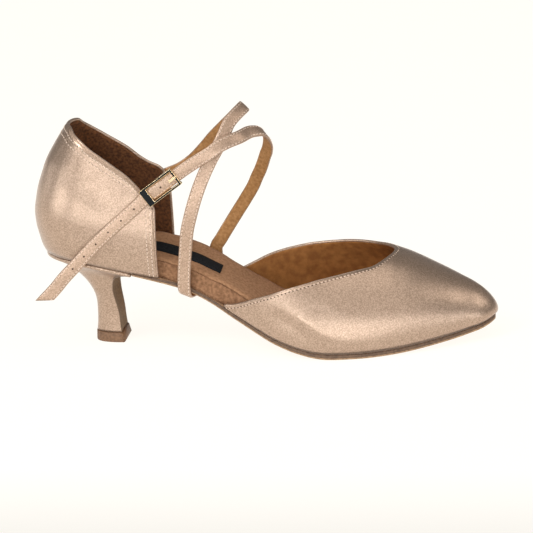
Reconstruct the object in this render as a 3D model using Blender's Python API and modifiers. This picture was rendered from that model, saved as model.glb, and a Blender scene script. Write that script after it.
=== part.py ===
"""Ballroom dance shoe for the right foot, in metres.

The origin is the middle of the heel tip, on the floor. +X runs to the toe, +Y to the inner side of
the foot, +Z up. The bed is the surface of the last's underside: the outsole and the heel lie under
it, and the insole, the heel cup and the vamp stand on it.
"""

import math

import bmesh
import bpy
import numpy as np
from mathutils import Vector

# Driving sizes of the last
LENGTH = 0.2385  # from the back of the seat to the toe, at the feather edge
BALL_WIDTH = 0.078
SEAT_WIDTH = 0.0518
WAIST_WIDTH = 0.784 * SEAT_WIDTH
SEAT_OVERHANG = 0.0325  # the back of the seat behind the middle of the heel tip
HEEL_RISE = 0.0482  # the seat's back over the ball
TOE_SPRING = 0.0087
THROAT_HEIGHT = 0.0457  # the last's ridge over the bed at the throat
BACK_HEIGHT = 0.0690  # the heel cup over the bed, at its back
INSTEP_TOP = 0.1260  # the crest of the straps over the floor
INSTEP_WIDTH = 1.081 * SEAT_WIDTH

# Thicknesses
SOLE = 0.0028
VAMP_WALL = 0.0016
CUP_WALL = 0.0018
ARCH_PAD = 0.0106  # the insole at its thickest, under the arch
EDGE_ROLL = 0.0030  # the insole's rounded upper edge at its widest
INNER_RISE = 0.0034  # how much higher the insole's inner edge is at the arch
SOCK = 0.0012
LABEL = 0.0005
STRAP_WIDTH = 0.0070
STRAP_THICK = 0.0015
GAP = 0.0003  # between pieces that meet

# Heel and buckle
TIP_HEIGHT = 0.0052
TIP_LENGTH = 0.0168
TIP_WIDTH = 0.0192
BUCKLE_LENGTH = 0.0212
BUCKLE_BAR = 0.0038  # the broad bar
BUCKLE_RAIL = 0.0012
BUCKLE_THICK = 0.0016

# The bed along the foot. Columns: share of LENGTH, share of HEEL_RISE, share of TOE_SPRING.
BED = (
    (0.000, 1.000, 0.0), (0.052, 0.988, 0.0), (0.094, 0.965, 0.0), (0.136, 0.922, 0.0),
    (0.178, 0.875, 0.0), (0.220, 0.828, 0.0), (0.262, 0.782, 0.0), (0.304, 0.728, 0.0),
    (0.346, 0.640, 0.0), (0.375, 0.560, 0.0), (0.400, 0.487, 0.0), (0.423, 0.414, 0.0),
    (0.447, 0.347, 0.0), (0.470, 0.285, 0.0), (0.493, 0.225, 0.0), (0.515, 0.170, 0.0),
    (0.539, 0.122, 0.0), (0.560, 0.086, 0.0), (0.581, 0.056, 0.0), (0.606, 0.026, 0.0),
    (0.627, 0.008, 0.0), (0.643, 0.0, 0.0),
    (0.725, 0.0, 0.0), (0.765, 0.0, 0.035), (0.807, 0.0, 0.110), (0.849, 0.0, 0.230),
    (0.891, 0.0, 0.370), (0.933, 0.0, 0.530), (0.975, 0.0, 0.770), (1.000, 0.0, 1.000),
)

# The outline. Columns: share of LENGTH, the width it follows, its outer share, its inner share.
OUTLINE = (
    (0.000, SEAT_WIDTH, 0.450, 0.450), (0.110, SEAT_WIDTH, 0.493, 0.492),
    (0.157, SEAT_WIDTH, 0.502, 0.498), (0.199, SEAT_WIDTH, 0.498, 0.486),
    (0.241, SEAT_WIDTH, 0.483, 0.452), (0.283, WAIST_WIDTH, 0.591, 0.507),
    (0.325, WAIST_WIDTH, 0.567, 0.448), (0.367, WAIST_WIDTH, 0.567, 0.433),
    (0.409, WAIST_WIDTH, 0.612, 0.478), (0.451, BALL_WIDTH, 0.359, 0.295),
    (0.493, BALL_WIDTH, 0.410, 0.353), (0.535, BALL_WIDTH, 0.456, 0.405),
    (0.577, BALL_WIDTH, 0.490, 0.446), (0.618, BALL_WIDTH, 0.505, 0.477),
    (0.660, BALL_WIDTH, 0.503, 0.495), (0.702, BALL_WIDTH, 0.485, 0.497),
    (0.744, BALL_WIDTH, 0.451, 0.487), (0.786, BALL_WIDTH, 0.408, 0.464),
    (0.828, BALL_WIDTH, 0.354, 0.428), (0.870, BALL_WIDTH, 0.287, 0.382),
    (0.912, BALL_WIDTH, 0.210, 0.323), (0.954, BALL_WIDTH, 0.123, 0.249),
    (1.000, BALL_WIDTH, 0.058, 0.205),
)
SEAT_ROUND_SHARE = 0.109  # share of LENGTH over which the back of the seat rounds off
TOE_ROUND_SHARE = 0.042

OUTER, INNER = -1, 1


def through(rows, column, values=None):
    """A curve through a column of a table that bends only where the table does."""
    x = np.array([row[0] for row in rows])
    y = np.array(values if values is not None else [row[column] for row in rows])
    step = np.diff(x)
    slope = np.diff(y) / step
    tangent = np.zeros(len(x))
    for i in range(1, len(x) - 1):
        if slope[i - 1] * slope[i] > 0:
            before = 2 * step[i] + step[i - 1]
            after = step[i] + 2 * step[i - 1]
            tangent[i] = (before + after) / (before / slope[i - 1] + after / slope[i])
    tangent[0], tangent[-1] = slope[0], slope[-1]

    def value(at):
        at = min(max(at, x[0]), x[-1])
        i = min(int(np.searchsorted(x, at, side="right")) - 1, len(step) - 1)
        t = (at - x[i]) / step[i]
        return float(
            y[i] * (1 + 2 * t) * (1 - t) ** 2
            + tangent[i] * step[i] * t * (1 - t) ** 2
            + y[i + 1] * t * t * (3 - 2 * t)
            - tangent[i + 1] * step[i] * t * t * (1 - t)
        )

    return value


bed_rise = through(BED, 1)
bed_spring = through(BED, 2)
outline_side = {
    OUTER: through(OUTLINE, 0, [row[1] * row[2] for row in OUTLINE]),
    INNER: through(OUTLINE, 0, [row[1] * row[3] for row in OUTLINE]),
}


def x_at(along):
    return along * LENGTH - SEAT_OVERHANG


def along_at(x):
    return (x + SEAT_OVERHANG) / LENGTH


def bed(along):
    """Height of the last's underside over the floor."""
    return SOLE + HEEL_RISE * bed_rise(along) + TOE_SPRING * bed_spring(along)


def half_width(along, side):
    """Distance of the feather edge from the line through heel and toe."""
    half = outline_side[side](along)
    middle = 0.0
    left = 1.0
    if along < SEAT_ROUND_SHARE:
        left = math.sqrt(max(0.0, 1 - (1 - along / SEAT_ROUND_SHARE) ** 2))
    if along > 1 - TOE_ROUND_SHARE:
        left = math.sqrt(max(0.0, 1 - (1 - (1 - along) / TOE_ROUND_SHARE) ** 2))
        middle = side * (outline_side[INNER](along) - outline_side[OUTER](along)) / 2
    return middle + (half - middle) * left


def inside(along, side, inset):
    """Distance from the middle line of a curve that keeps an inset inside the feather edge."""
    turns = [math.pi * i / 12 for i in range(-6, 7)]
    return min(
        half_width(min(max(along + inset * math.sin(turn) / LENGTH, 0.0), 1.0), side)
        - inset * math.cos(turn)
        for turn in turns
    )


def spread(first, last, count, crowd_first=False, crowd_last=False):
    """Stations from first to last, crowded where the outline turns round an end."""
    stations = []
    for i in range(count + 1):
        t = i / count
        if crowd_last:
            t = math.sin(math.pi * t / 2)
        elif crowd_first:
            t = 1 - math.cos(math.pi * t / 2)
        stations.append(first + (last - first) * t)
    return stations


def material(name, colour, roughness, metallic=0.0):
    made = bpy.data.materials.new(name)
    made.use_nodes = True
    shader = made.node_tree.nodes["Principled BSDF"]
    shader.inputs["Base Color"].default_value = (*colour, 1.0)
    shader.inputs["Roughness"].default_value = roughness
    shader.inputs["Metallic"].default_value = metallic
    return made


def add(name, mesh, finish):
    """Put a mesh into the shoe's collection, shaded smooth except at its edges."""
    made = bpy.data.objects.new(name, mesh)
    shoe.objects.link(made)
    mesh.materials.append(finish)
    mesh.shade_smooth()
    mesh.set_sharp_from_angle(angle=math.radians(40))
    return made


def mesh_from(name, grid, faces):
    made = bpy.data.meshes.new(name)
    made.from_pydata([tuple(p) for p in grid], [], faces)
    bm = bmesh.new()
    bm.from_mesh(made)
    bmesh.ops.remove_doubles(bm, verts=bm.verts, dist=1e-6)
    bmesh.ops.dissolve_degenerate(bm, edges=bm.edges, dist=1e-7)
    bmesh.ops.recalc_face_normals(bm, faces=bm.faces)
    bm.to_mesh(made)
    bm.free()
    return made


def loft(name, loops):
    """A closed solid through a row of loops that have as many points each."""
    count = len(loops[0])
    points = [p for loop in loops for p in loop]
    faces = [tuple(range(count))]
    for i in range(len(loops) - 1):
        for j in range(count):
            k = (j + 1) % count
            faces.append((i * count + j, i * count + k, (i + 1) * count + k, (i + 1) * count + j))
    faces.append(tuple(reversed(range((len(loops) - 1) * count, len(loops) * count))))
    return mesh_from(name, points, faces)


def solidify(made, wall):
    """Give an open outer surface its wall, inward."""
    thick = made.modifiers.new("Wall", "SOLIDIFY")
    thick.thickness = wall
    thick.offset = -1.0
    thick.use_even_offset = True
    thick.use_quality_normals = True
    return thick


for old in list(bpy.data.objects):
    bpy.data.objects.remove(old, do_unlink=True)
shoe = bpy.data.collections.new("Ballroom dance shoe")
bpy.context.scene.collection.children.link(shoe)

SATIN = material("Champagne satin", (0.58, 0.40, 0.29), 0.38)
STRAP_SATIN = material("Strap satin", (0.60, 0.41, 0.30), 0.38)
SUEDE = material("Brown suede", (0.24, 0.13, 0.075), 0.95)
WAIST_SUEDE = material("Tan suede", (0.33, 0.18, 0.10), 0.95)
SOLE_HIDE = material("Split leather", (0.30, 0.18, 0.10), 0.90)
TIP_RUBBER = material("Tan heel rubber", (0.30, 0.16, 0.09), 0.6)
WOVEN_BLACK = material("Black woven label", (0.012, 0.013, 0.014), 0.7)
ENAMEL = material("Black and gold metal", (0.02, 0.02, 0.02), 0.3, 0.6)
GOLD = material("Gold metal", (0.75, 0.52, 0.22), 0.25, 1.0)


# Outsole: from the heel's front lip to the toe, flat on the floor under the ball
SOLE_START_SHARE = 0.209  # shares of LENGTH where the sole starts and ends
SKIVE_END_SHARE = 0.300  # share of LENGTH, from here on the sole is SOLE thick
SKIVE_SHARE = 0.48  # share of SOLE that is left at the heel's breast
SOLE_END_SHARE = 0.9995
TOE_CROWD_SHARE = 0.88  # from here to the toe the sections stand closer together
SOLE_BEVEL = 0.0006


def sole_thick(along):
    """The sole is skived thin where it meets the heel's breast."""
    way = min(1.0, (along - SOLE_START_SHARE) / (SKIVE_END_SHARE - SOLE_START_SHARE))
    return SOLE * (SKIVE_SHARE + (1 - SKIVE_SHARE) * way)


def outsole():
    stations = spread(SOLE_START_SHARE, TOE_CROWD_SHARE, 26)
    stations += spread(TOE_CROWD_SHARE, SOLE_END_SHARE, 12, crowd_last=True)[1:]
    loops = []
    for along in stations:
        x = x_at(along)
        top = bed(along)
        outer = half_width(along, OUTER)
        inner = half_width(along, INNER)
        bevel = min(SOLE_BEVEL, 0.25 * (outer + inner))
        foot = top - sole_thick(along)
        loops.append([
            (x, -outer, top), (x, -outer, foot + bevel), (x, -outer + bevel, foot),
            (x, inner - bevel, foot), (x, inner, foot + bevel), (x, inner, top),
        ])
    return add("outsole", loft("outsole", loops), SOLE_HIDE)


# Insole: the shaped board, padded under the arch, whose wrapped side shows at the open waist.
# Columns: share of LENGTH, share of ARCH_PAD, share of EDGE_ROLL, share of INNER_RISE.
EDGE_CLEAR = 0.0006
INSOLE = (
    (0.000, 0.453, 0.33, 0.00), (0.130, 0.585, 0.33, 0.15), (0.220, 0.736, 0.50, 0.59),
    (0.262, 0.792, 0.50, 0.94), (0.304, 0.792, 0.47, 1.00), (0.350, 0.887, 0.47, 0.94),
    (0.390, 0.925, 0.47, 0.82), (0.430, 1.000, 0.73, 0.41), (0.470, 0.943, 1.00, 0.12),
    (0.510, 0.755, 1.00, 0.00), (0.570, 0.547, 0.67, 0.00), (0.640, 0.377, 0.40, 0.00),
    (0.760, 0.283, 0.33, 0.00), (1.000, 0.245, 0.27, 0.00),
)
insole_thick = through(INSOLE, 1)
insole_roll = through(INSOLE, 2)
insole_lift = through(INSOLE, 3)
CUP_FRONT_SHARE = {OUTER: 0.265, INNER: 0.271}  # share of LENGTH, the front edges of the heel cup
WING_START_SHARE = 0.412  # the tips of the vamp's wings
WALL_EASE_SHARE = 0.022  # share of LENGTH over which the insole narrows to pass inside a wall
WALL_LEAD_SHARE = 0.0286  # how far ahead of a wall's edge it starts to narrow


def wall_inset(along):
    """How far the insole keeps inside the feather edge to clear the wall on it."""
    into_cup = (CUP_FRONT_SHARE[INNER] + WALL_LEAD_SHARE - along) / WALL_EASE_SHARE
    into_vamp = (along - WING_START_SHARE + WALL_LEAD_SHARE) / WALL_EASE_SHARE
    cup = min(max(into_cup, 0.0), 1.0)
    vamp = min(max(into_vamp, 0.0), 1.0)
    wall = max((CUP_WALL + GAP) * cup, (VAMP_WALL + GAP) * vamp)
    return EDGE_CLEAR + wall


def insole_side(along, side):
    return inside(along, side, wall_inset(along))


def insole_width(along):
    return insole_side(along, OUTER) + insole_side(along, INNER)


def insole_top(along, across):
    """Height of the insole's upper face; across runs from -1, outer, to 1, inner."""
    lift = INNER_RISE * insole_lift(along) * (across + 1) / 2
    return bed(along) + GAP + ARCH_PAD * insole_thick(along) + lift


def insole_shoulder(along):
    """How far the insole's upper edge lies inside its side."""
    return min(EDGE_ROLL * insole_roll(along), 0.2 * insole_width(along))


INSOLE_BACK_SHARE = 0.0125  # shares of LENGTH where the board and the sock end
INSOLE_FRONT_SHARE = 0.985
SEAT_CROWD_SHARE = 0.13  # behind here the sections of insole and sock stand closer together
BOARD_CROWD_SHARE = 0.86  # and the insole's in front of here
SIDE_CROWN = 0.0009  # how far the bare waist's side swells


def insole():
    stations = spread(INSOLE_BACK_SHARE, SEAT_CROWD_SHARE, 7, crowd_first=True)
    stations += spread(SEAT_CROWD_SHARE, BOARD_CROWD_SHARE, 30)[1:]
    stations += spread(BOARD_CROWD_SHARE, INSOLE_FRONT_SHARE, 7, crowd_last=True)[1:]
    loops = []
    for along in stations:
        x = x_at(along)
        low = bed(along) + GAP
        bare = CUP_FRONT_SHARE[INNER] < along < WING_START_SHARE - WALL_EASE_SHARE
        crown = SIDE_CROWN if bare else 0.0
        loop = []
        for side in (OUTER, INNER):
            half = insole_side(along, side)
            shoulder = insole_shoulder(along)
            top = insole_top(along, side)
            rise = top - low
            edge = [
                (half - 0.3 * crown, low), (half + 0.2 * crown, low + 0.30 * rise),
                (half - 0.22 * shoulder, low + 0.62 * rise),
                (half - 0.58 * shoulder, low + 0.88 * rise), (half - shoulder, top),
            ]
            if side == INNER:
                edge.reverse()
            loop += [(x, side * y, z) for y, z in edge]
        loops.append(loop)
    return add("insole", loft("insole", loops), WAIST_SUEDE)


# Sock: the thin suede lining on the insole
SOCK_BACK_SHARE = 0.017
SOCK_FRONT_SHARE = 0.900
SOCK_CROWD_SHARE = 0.78  # from here to the toes the sock's last sections
SOCK_EDGE = 0.0005  # how far the sock's edge lies inside the insole's top edge


def sock_side(along, side):
    return insole_side(along, side) - insole_shoulder(along) - SOCK_EDGE


def sock():
    stations = spread(SOCK_BACK_SHARE, SEAT_CROWD_SHARE, 7, crowd_first=True)
    stations += spread(SEAT_CROWD_SHARE, SOCK_CROWD_SHARE, 26)[1:]
    stations += spread(SOCK_CROWD_SHARE, SOCK_FRONT_SHARE, 5)[1:]
    loops = []
    for along in stations:
        x = x_at(along)
        foot = []
        outer, inner = -sock_side(along, OUTER), sock_side(along, INNER)
        for across in (-1.0, -0.5, 0.5, 1.0):
            y = (outer + inner) / 2 + across * (inner - outer) / 2
            foot.append((x, y, insole_top(along, across) + GAP))
        top = [(px, py, pz + SOCK) for px, py, pz in reversed(foot)]
        loops.append(foot + top)
    return add("sock", loft("sock", loops), SUEDE)


# Label: a woven strip on the sock. Columns: share of LENGTH, then its outer and its inner edge as
# shares of WAIST_WIDTH.
LABEL_ROWS = (
    (0.215, -0.235, 0.040), (0.245, -0.255, 0.020), (0.290, -0.282, -0.008), (0.330, -0.307, -0.040),
    (0.365, -0.303, -0.037), (0.3975, -0.286, -0.018),
)
label_edge = (through(LABEL_ROWS, 1), through(LABEL_ROWS, 2))


def sock_label():
    loops = []
    for along in spread(LABEL_ROWS[0][0], LABEL_ROWS[-1][0], 11):
        outer, inner = -sock_side(along, OUTER), sock_side(along, INNER)
        foot = []
        for edge in label_edge:
            y = WAIST_WIDTH * edge(along)
            across = (2 * y - outer - inner) / (inner - outer)
            foot.append((x_at(along), y, insole_top(along, across) + SOCK + 2 * GAP))
        top = [(px, py, pz + LABEL) for px, py, pz in reversed(foot)]
        loops.append(foot + top)
    return add("sock_label", loft("sock_label", loops), WOVEN_BLACK)


# Vamp: the front upper. Ribs rise from the feather edge to the ridge of the last, and stop at the
# topline until the throat. Columns: share of LENGTH, height of the ridge as a share of
# THROAT_HEIGHT, and the ridge's place across, as a share of BALL_WIDTH.
RIDGE = (
    (0.380, 1.66, 0.020), (0.450, 1.58, 0.025), (0.540, 1.45, 0.035), (0.620, 1.27, 0.045),
    (0.700, 1.11, 0.055), (0.745, 1.03, 0.062), (0.784, 0.965, 0.064), (0.813, 0.900, 0.064),
    (0.835, 0.838, 0.065), (0.857, 0.770, 0.066), (0.879, 0.700, 0.067), (0.901, 0.630, 0.069),
    (0.923, 0.557, 0.071), (0.945, 0.480, 0.073), (0.960, 0.420, 0.0735), (1.000, 0.250, 0.0735),
)
# The topline. Columns: share of LENGTH, how far up the rib it runs on the outer and inner side.
TOPLINE = (
    (0.412, 0.004, 0.035), (0.430, 0.023, 0.067), (0.452, 0.055, 0.109), (0.483, 0.113, 0.175),
    (0.520, 0.187, 0.251), (0.545, 0.241, 0.299), (0.590, 0.341, 0.396), (0.631, 0.435, 0.490),
    (0.673, 0.514, 0.578), (0.715, 0.600, 0.672), (0.755, 0.690, 0.775), (0.784, 0.770, 0.860),
    (0.860, 1.000, 1.000),
)
THROAT_SHARE = 0.7845  # share of LENGTH where the topline closes
THROAT_ROUND_SHARE = 0.050  # share of LENGTH over which it rounds off
FAN_START_SHARE = 0.800  # from here the ribs fan out round the toe
FAN_TARGET_SHARE = 0.958  # where the toe's ribs end on the ridge
RIB_POWER = 0.87  # two over the exponent of the rib's superellipse
VAMP_BULGE = 0.0015
FAN_RIBS = 13

ridge_height = through(RIDGE, 1)
ridge_across = through(RIDGE, 2)
topline = {OUTER: through(TOPLINE, 1), INNER: through(TOPLINE, 2)}


def topline_share(along, side):
    share = topline[side](along)
    if along >= THROAT_SHARE:
        return 1.0
    left = THROAT_SHARE - along
    if left < THROAT_ROUND_SHARE:
        share = 1 - (1 - share) * math.sqrt(1 - (1 - left / THROAT_ROUND_SHARE) ** 2)
    return share


def ridge_z(along):
    return bed(along) + THROAT_HEIGHT * ridge_height(along)


def vamp_point(foot, head, side, share):
    """A point of the last's forepart; foot and head are shares of LENGTH, share runs up a rib."""
    start = Vector((x_at(foot), side * half_width(foot, side), bed(foot) + GAP))
    end = Vector((x_at(head), BALL_WIDTH * ridge_across(head), ridge_z(head)))
    angle = share * math.pi / 2
    inward = 1 - math.cos(angle) ** RIB_POWER if share < 1 else 1.0
    upward = math.sin(angle) ** RIB_POWER
    flat = Vector((end.x - start.x, end.y - start.y, 0.0))
    point = start + flat * inward
    roof = ridge_z(along_at(point.x)) if head > FAN_START_SHARE else end.z
    point.z = start.z + (roof - start.z) * upward
    out = -flat.normalized() * VAMP_BULGE * math.sin(math.pi * math.sqrt(upward))
    return point + out


def vamp_stations():
    """Pairs of shares of LENGTH: where each rib starts on the feather edge and ends on the ridge."""
    round_start = THROAT_SHARE - THROAT_ROUND_SHARE
    pairs = [(a, a) for a in spread(WING_START_SHARE, round_start, 13)]
    pairs += [(a, a) for a in spread(round_start, THROAT_SHARE, 6, crowd_last=True)[1:]]
    foot_fan = 1 - FAN_START_SHARE
    head_fan = FAN_TARGET_SHARE - FAN_START_SHARE
    lag = foot_fan / head_fan  # the ridge's pace at the fan's start is the feather edge's
    for i in range(1, FAN_RIBS + 1):
        reach = 1 - (1 - i / FAN_RIBS) ** 2
        head = lag * reach + (1 - lag) * reach ** 2
        pairs.append((FAN_START_SHARE + foot_fan * reach, FAN_START_SHARE + head_fan * head))
    return pairs


VAMP_ROWS = 10


def vamp():
    pairs = vamp_stations()
    points = []
    for foot, head in pairs:
        for side in (OUTER, INNER):
            reach = topline_share(foot, side)
            base = topline[side](foot)
            for k in range(VAMP_ROWS + 1):
                part = k / VAMP_ROWS
                share = part * (base + (reach - base) * part ** 3)
                points.append(vamp_point(foot, head, side, share))
    row = VAMP_ROWS + 1
    faces = []
    for i in range(len(pairs) - 1):
        for s in range(2):
            for k in range(VAMP_ROWS):
                a = (2 * i + s) * row + k
                b = (2 * (i + 1) + s) * row + k
                faces.append((a, b, b + 1, a + 1) if s == 0 else (a, a + 1, b + 1, b))
    made = add("vamp", mesh_from("vamp", points, faces), SATIN)
    solidify(made, VAMP_WALL)
    return made


# Heel cup. Columns of its profiles: height over the bed as a share of BACK_HEIGHT, how far the
# back leans behind the seat as a share of LENGTH, and the width as a share of the seat's.
CUP_PROFILE = (
    (0.00, 0.0020, 1.000), (0.05, 0.0090, 1.030), (0.12, 0.0140, 1.055), (0.20, 0.0192, 1.065),
    (0.30, 0.0212, 1.060), (0.41, 0.0165, 1.030), (0.50, 0.0105, 0.990), (0.61, -0.0005, 0.935),
    (0.70, -0.0105, 0.885), (0.83, -0.0320, 0.825), (0.95, -0.0550, 0.790), (1.00, -0.0655, 0.780),
)
# The collar. Columns: share of the way from the seat's back to the cup's front edge, then the
# height over the bed as a share of BACK_HEIGHT on the outer and on the inner side.
COLLAR = (
    (0.000, 0.994, 0.994), (0.060, 0.988, 0.986), (0.140, 0.955, 0.944), (0.260, 0.915, 0.893),
    (0.390, 0.869, 0.850), (0.520, 0.831, 0.817), (0.640, 0.792, 0.781), (0.760, 0.747, 0.729),
    (0.850, 0.692, 0.706), (0.905, 0.645, 0.700), (0.965, 0.583, 0.666), (1.000, 0.552, 0.584),
)
cup_lean = through(CUP_PROFILE, 1)
cup_width = through(CUP_PROFILE, 2)
collar = {OUTER: through(COLLAR, 1), INNER: through(COLLAR, 2)}


def cup_point(way, side, height):
    """A point of the cup: way from back, 0, to front edge, 1; height as a share of BACK_HEIGHT."""
    along = way * CUP_FRONT_SHARE[side]
    front = x_at(CUP_FRONT_SHARE[side])
    shrink = 1 + cup_lean(height) / CUP_FRONT_SHARE[side]
    x = front - (front - x_at(along)) * shrink
    y = side * half_width(along, side) * cup_width(height)
    return Vector((x, y, bed(along) + GAP + height * BACK_HEIGHT))


CUP_ROWS = 9


def cup_ways():
    """Stations round the cup, from its outer front edge round the back to its inner front edge."""
    near = [1.0, 0.965, 0.905, 0.85, 0.76, 0.66, 0.55]
    back = spread(0.0, 0.44, 7, crowd_first=True)
    half = near + back[::-1]
    return [(way, OUTER) for way in half] + [(way, INNER) for way in half[-2::-1]]


def counter():
    points = []
    ways = cup_ways()
    for way, side in ways:
        top = collar[side](way)
        for k in range(CUP_ROWS + 1):
            points.append(cup_point(way, side, top * k / CUP_ROWS))
    row = CUP_ROWS + 1
    faces = []
    for i in range(len(ways) - 1):
        for k in range(CUP_ROWS):
            a, b = i * row + k, (i + 1) * row + k
            faces.append((a, a + 1, b + 1, b))
    made = add("counter", mesh_from("counter", points, faces), SATIN)
    solidify(made, CUP_WALL)
    return made


# Heel: the covered block, from the tip through a narrow neck to the seat.
# Columns: height as a share of the way from the tip to the flare, back and front from the middle
# of the tip as shares of TIP_LENGTH, half width as a share of TIP_WIDTH, hollow of the breast.
NECK = (
    (0.00, -0.475, 0.400, 0.460, 0.02), (0.20, -0.440, 0.375, 0.448, 0.03),
    (0.42, -0.427, 0.355, 0.446, 0.05), (0.62, -0.424, 0.315, 0.465, 0.07),
    (0.82, -0.452, 0.262, 0.515, 0.09), (1.00, -0.529, 0.225, 0.590, 0.10),
)
FLARE_START = 0.0285  # height over the floor where the neck opens into the seat
LIP = 0.0021  # the rim under the seat
LIP_FRONT_SHARE = 0.2055  # share of LENGTH, the front of the heel's lip
LIP_BACK_SHARE = 0.0025  # share of LENGTH, the back of the lip
RIM_INSET = 0.0006
FLARE_LEAD = 0.45  # share of the flare at the back that opens evenly from the neck up
FLARE_POWER = 2.2  # how late the rest of it opens
BREAST_POWER = 4.5  # and the flare at the breast
FLARE_STEPS = 9
HEEL_SIDE = 13
HEEL_FRONT = 6
neck_column = [through(NECK, i) for i in range(1, 5)]


def seat_loop(drop):
    """The heel's upper outline, a given way under the bed, from the outer front round the back."""
    loop = []
    for i in range(2 * HEEL_SIDE + 1):
        turn = math.pi / 2 * (i / HEEL_SIDE - 1)
        side = OUTER if i <= HEEL_SIDE else INNER
        along = LIP_FRONT_SHARE * (1 - math.cos(turn)) + LIP_BACK_SHARE * math.cos(turn)
        y = side * max(half_width(along, side) - RIM_INSET, 0.0)
        if i == HEEL_SIDE:
            y = 0.0
        loop.append(Vector((x_at(along), y, bed(along) - drop)))
    outer, inner = loop[0], loop[-1]
    for i in range(1, HEEL_FRONT):
        loop.append(inner.lerp(outer, i / HEEL_FRONT))
    return loop


def neck_loop(share):
    back, front, half, hollow = [column(share) for column in neck_column]
    back, front, hollow = [part * TIP_LENGTH for part in (back, front, hollow)]
    half *= TIP_WIDTH
    z = TIP_HEIGHT + GAP + share * (FLARE_START - TIP_HEIGHT - GAP)
    loop = []
    for i in range(2 * HEEL_SIDE + 1):
        turn = math.pi / 2 * (i / HEEL_SIDE - 1)
        reach = abs(math.cos(turn)) ** 0.85
        across = math.copysign(abs(math.sin(turn)) ** 0.85, turn)
        loop.append(Vector((front - (front - back) * reach, half * across, z)))
    outer, inner = loop[0], loop[-1]
    for i in range(1, HEEL_FRONT):
        point = inner.lerp(outer, i / HEEL_FRONT)
        point.x -= hollow * math.sin(math.pi * i / HEEL_FRONT)
        loop.append(point)
    return loop


def flare_out(t, i):
    """How far point i of a loop has moved from the neck to the rim: early behind, late at the breast."""
    behind = math.cos(math.pi / 2 * (i / HEEL_SIDE - 1)) if i <= 2 * HEEL_SIDE else 0.0
    early = FLARE_LEAD * t + (1 - FLARE_LEAD) * t ** FLARE_POWER
    return behind * early + (1 - behind) * t ** BREAST_POWER


def heel():
    loops = [neck_loop(row[0]) for row in NECK]
    start = loops[-1]
    rim = seat_loop(LIP)
    for i in range(1, FLARE_STEPS):
        t = i / FLARE_STEPS
        loop = []
        for k, (a, b) in enumerate(zip(start, rim)):
            out = flare_out(t, k)
            loop.append(Vector((a.x + (b.x - a.x) * out, a.y + (b.y - a.y) * out, a.z + (b.z - a.z) * t)))
        loops.append(loop)
    loops.append(rim)
    loops.append(seat_loop(0.0))
    return add("heel", loft("heel", loops), SATIN)


# Heel tip: the top piece, slightly wider than the heel's foot
TIP_POINTS = 28
TIP_FLARE = 0.0008


def heel_tip():
    loops = []
    for z, flare in ((0.0, 0.0), (TIP_HEIGHT, TIP_FLARE)):
        loop = []
        for i in range(TIP_POINTS + 1):
            turn = math.pi / 2 * (2 * i / TIP_POINTS - 1)
            reach = abs(math.cos(turn)) ** 0.75
            across = math.copysign(abs(math.sin(turn)) ** 0.8, turn)
            front = TIP_LENGTH / 2 - 1.6 * flare
            back = -TIP_LENGTH / 2 + 0.3 * flare
            half = TIP_WIDTH / 2 - 0.4 * flare
            loop.append((front - (front - back) * reach, half * across, z))
        loops.append(loop)
    return add("heel_tip", loft("heel_tip", loops), TIP_RUBBER)


# Straps: one long strap on the real shoe. It leaves the cup's inner front edge, goes over the instep,
# down the outer waist, under the sole, up the inner waist and over itself to the buckle and its tail.
# It is two pieces here, which meet under the sole. Columns: share of LENGTH, share of INSTEP_WIDTH,
# height from the bed as a share of the way to INSTEP_TOP, or of STRAP_UNDER below the bed, then in
# degrees the way its outer face turns round the foot and how far forward its crest leans.
STRAP_OUTER = (
    (0.2654, 0.384, 0.5192, 90, 45), (0.2918, 0.429, 0.5507, 90, 45),
    (0.3191, 0.455, 0.6064, 86, 45), (0.3480, 0.446, 0.6922, 75, 45),
    (0.3744, 0.402, 0.7794, 62, 45), (0.4013, 0.321, 0.8549, 48, 45),
    (0.4315, 0.196, 0.9336, 26, 45), (0.4604, 0.062, 1.0037, 4, 45),
    (0.4495, -0.071, 0.9882, -16, 45), (0.4335, -0.196, 0.9503, -36, 45),
    (0.4252, -0.259, 0.9053, -50, 45), (0.4134, -0.318, 0.8487, -60, 45),
    (0.3975, -0.393, 0.7786, -70, 45), (0.3778, -0.454, 0.6718, -79, 45),
    (0.3635, -0.486, 0.5731, -84, 45), (0.3505, -0.500, 0.4607, -88, 45),
    (0.3400, -0.495, 0.3509, -91, 50), (0.3338, -0.479, 0.2349, -94, 55),
    (0.3279, -0.461, 0.1043, -96, 60), (0.3249, -0.446, -0.1009, -102, 63),
    (0.3254, -0.411, -1.1773, -140, 63), (0.3279, -0.339, -1.4202, -176, 63),
    (0.3350, -0.214, -1.4032, -180, 63), (0.3468, -0.003, -1.4173, -180, 63),
)
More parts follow.
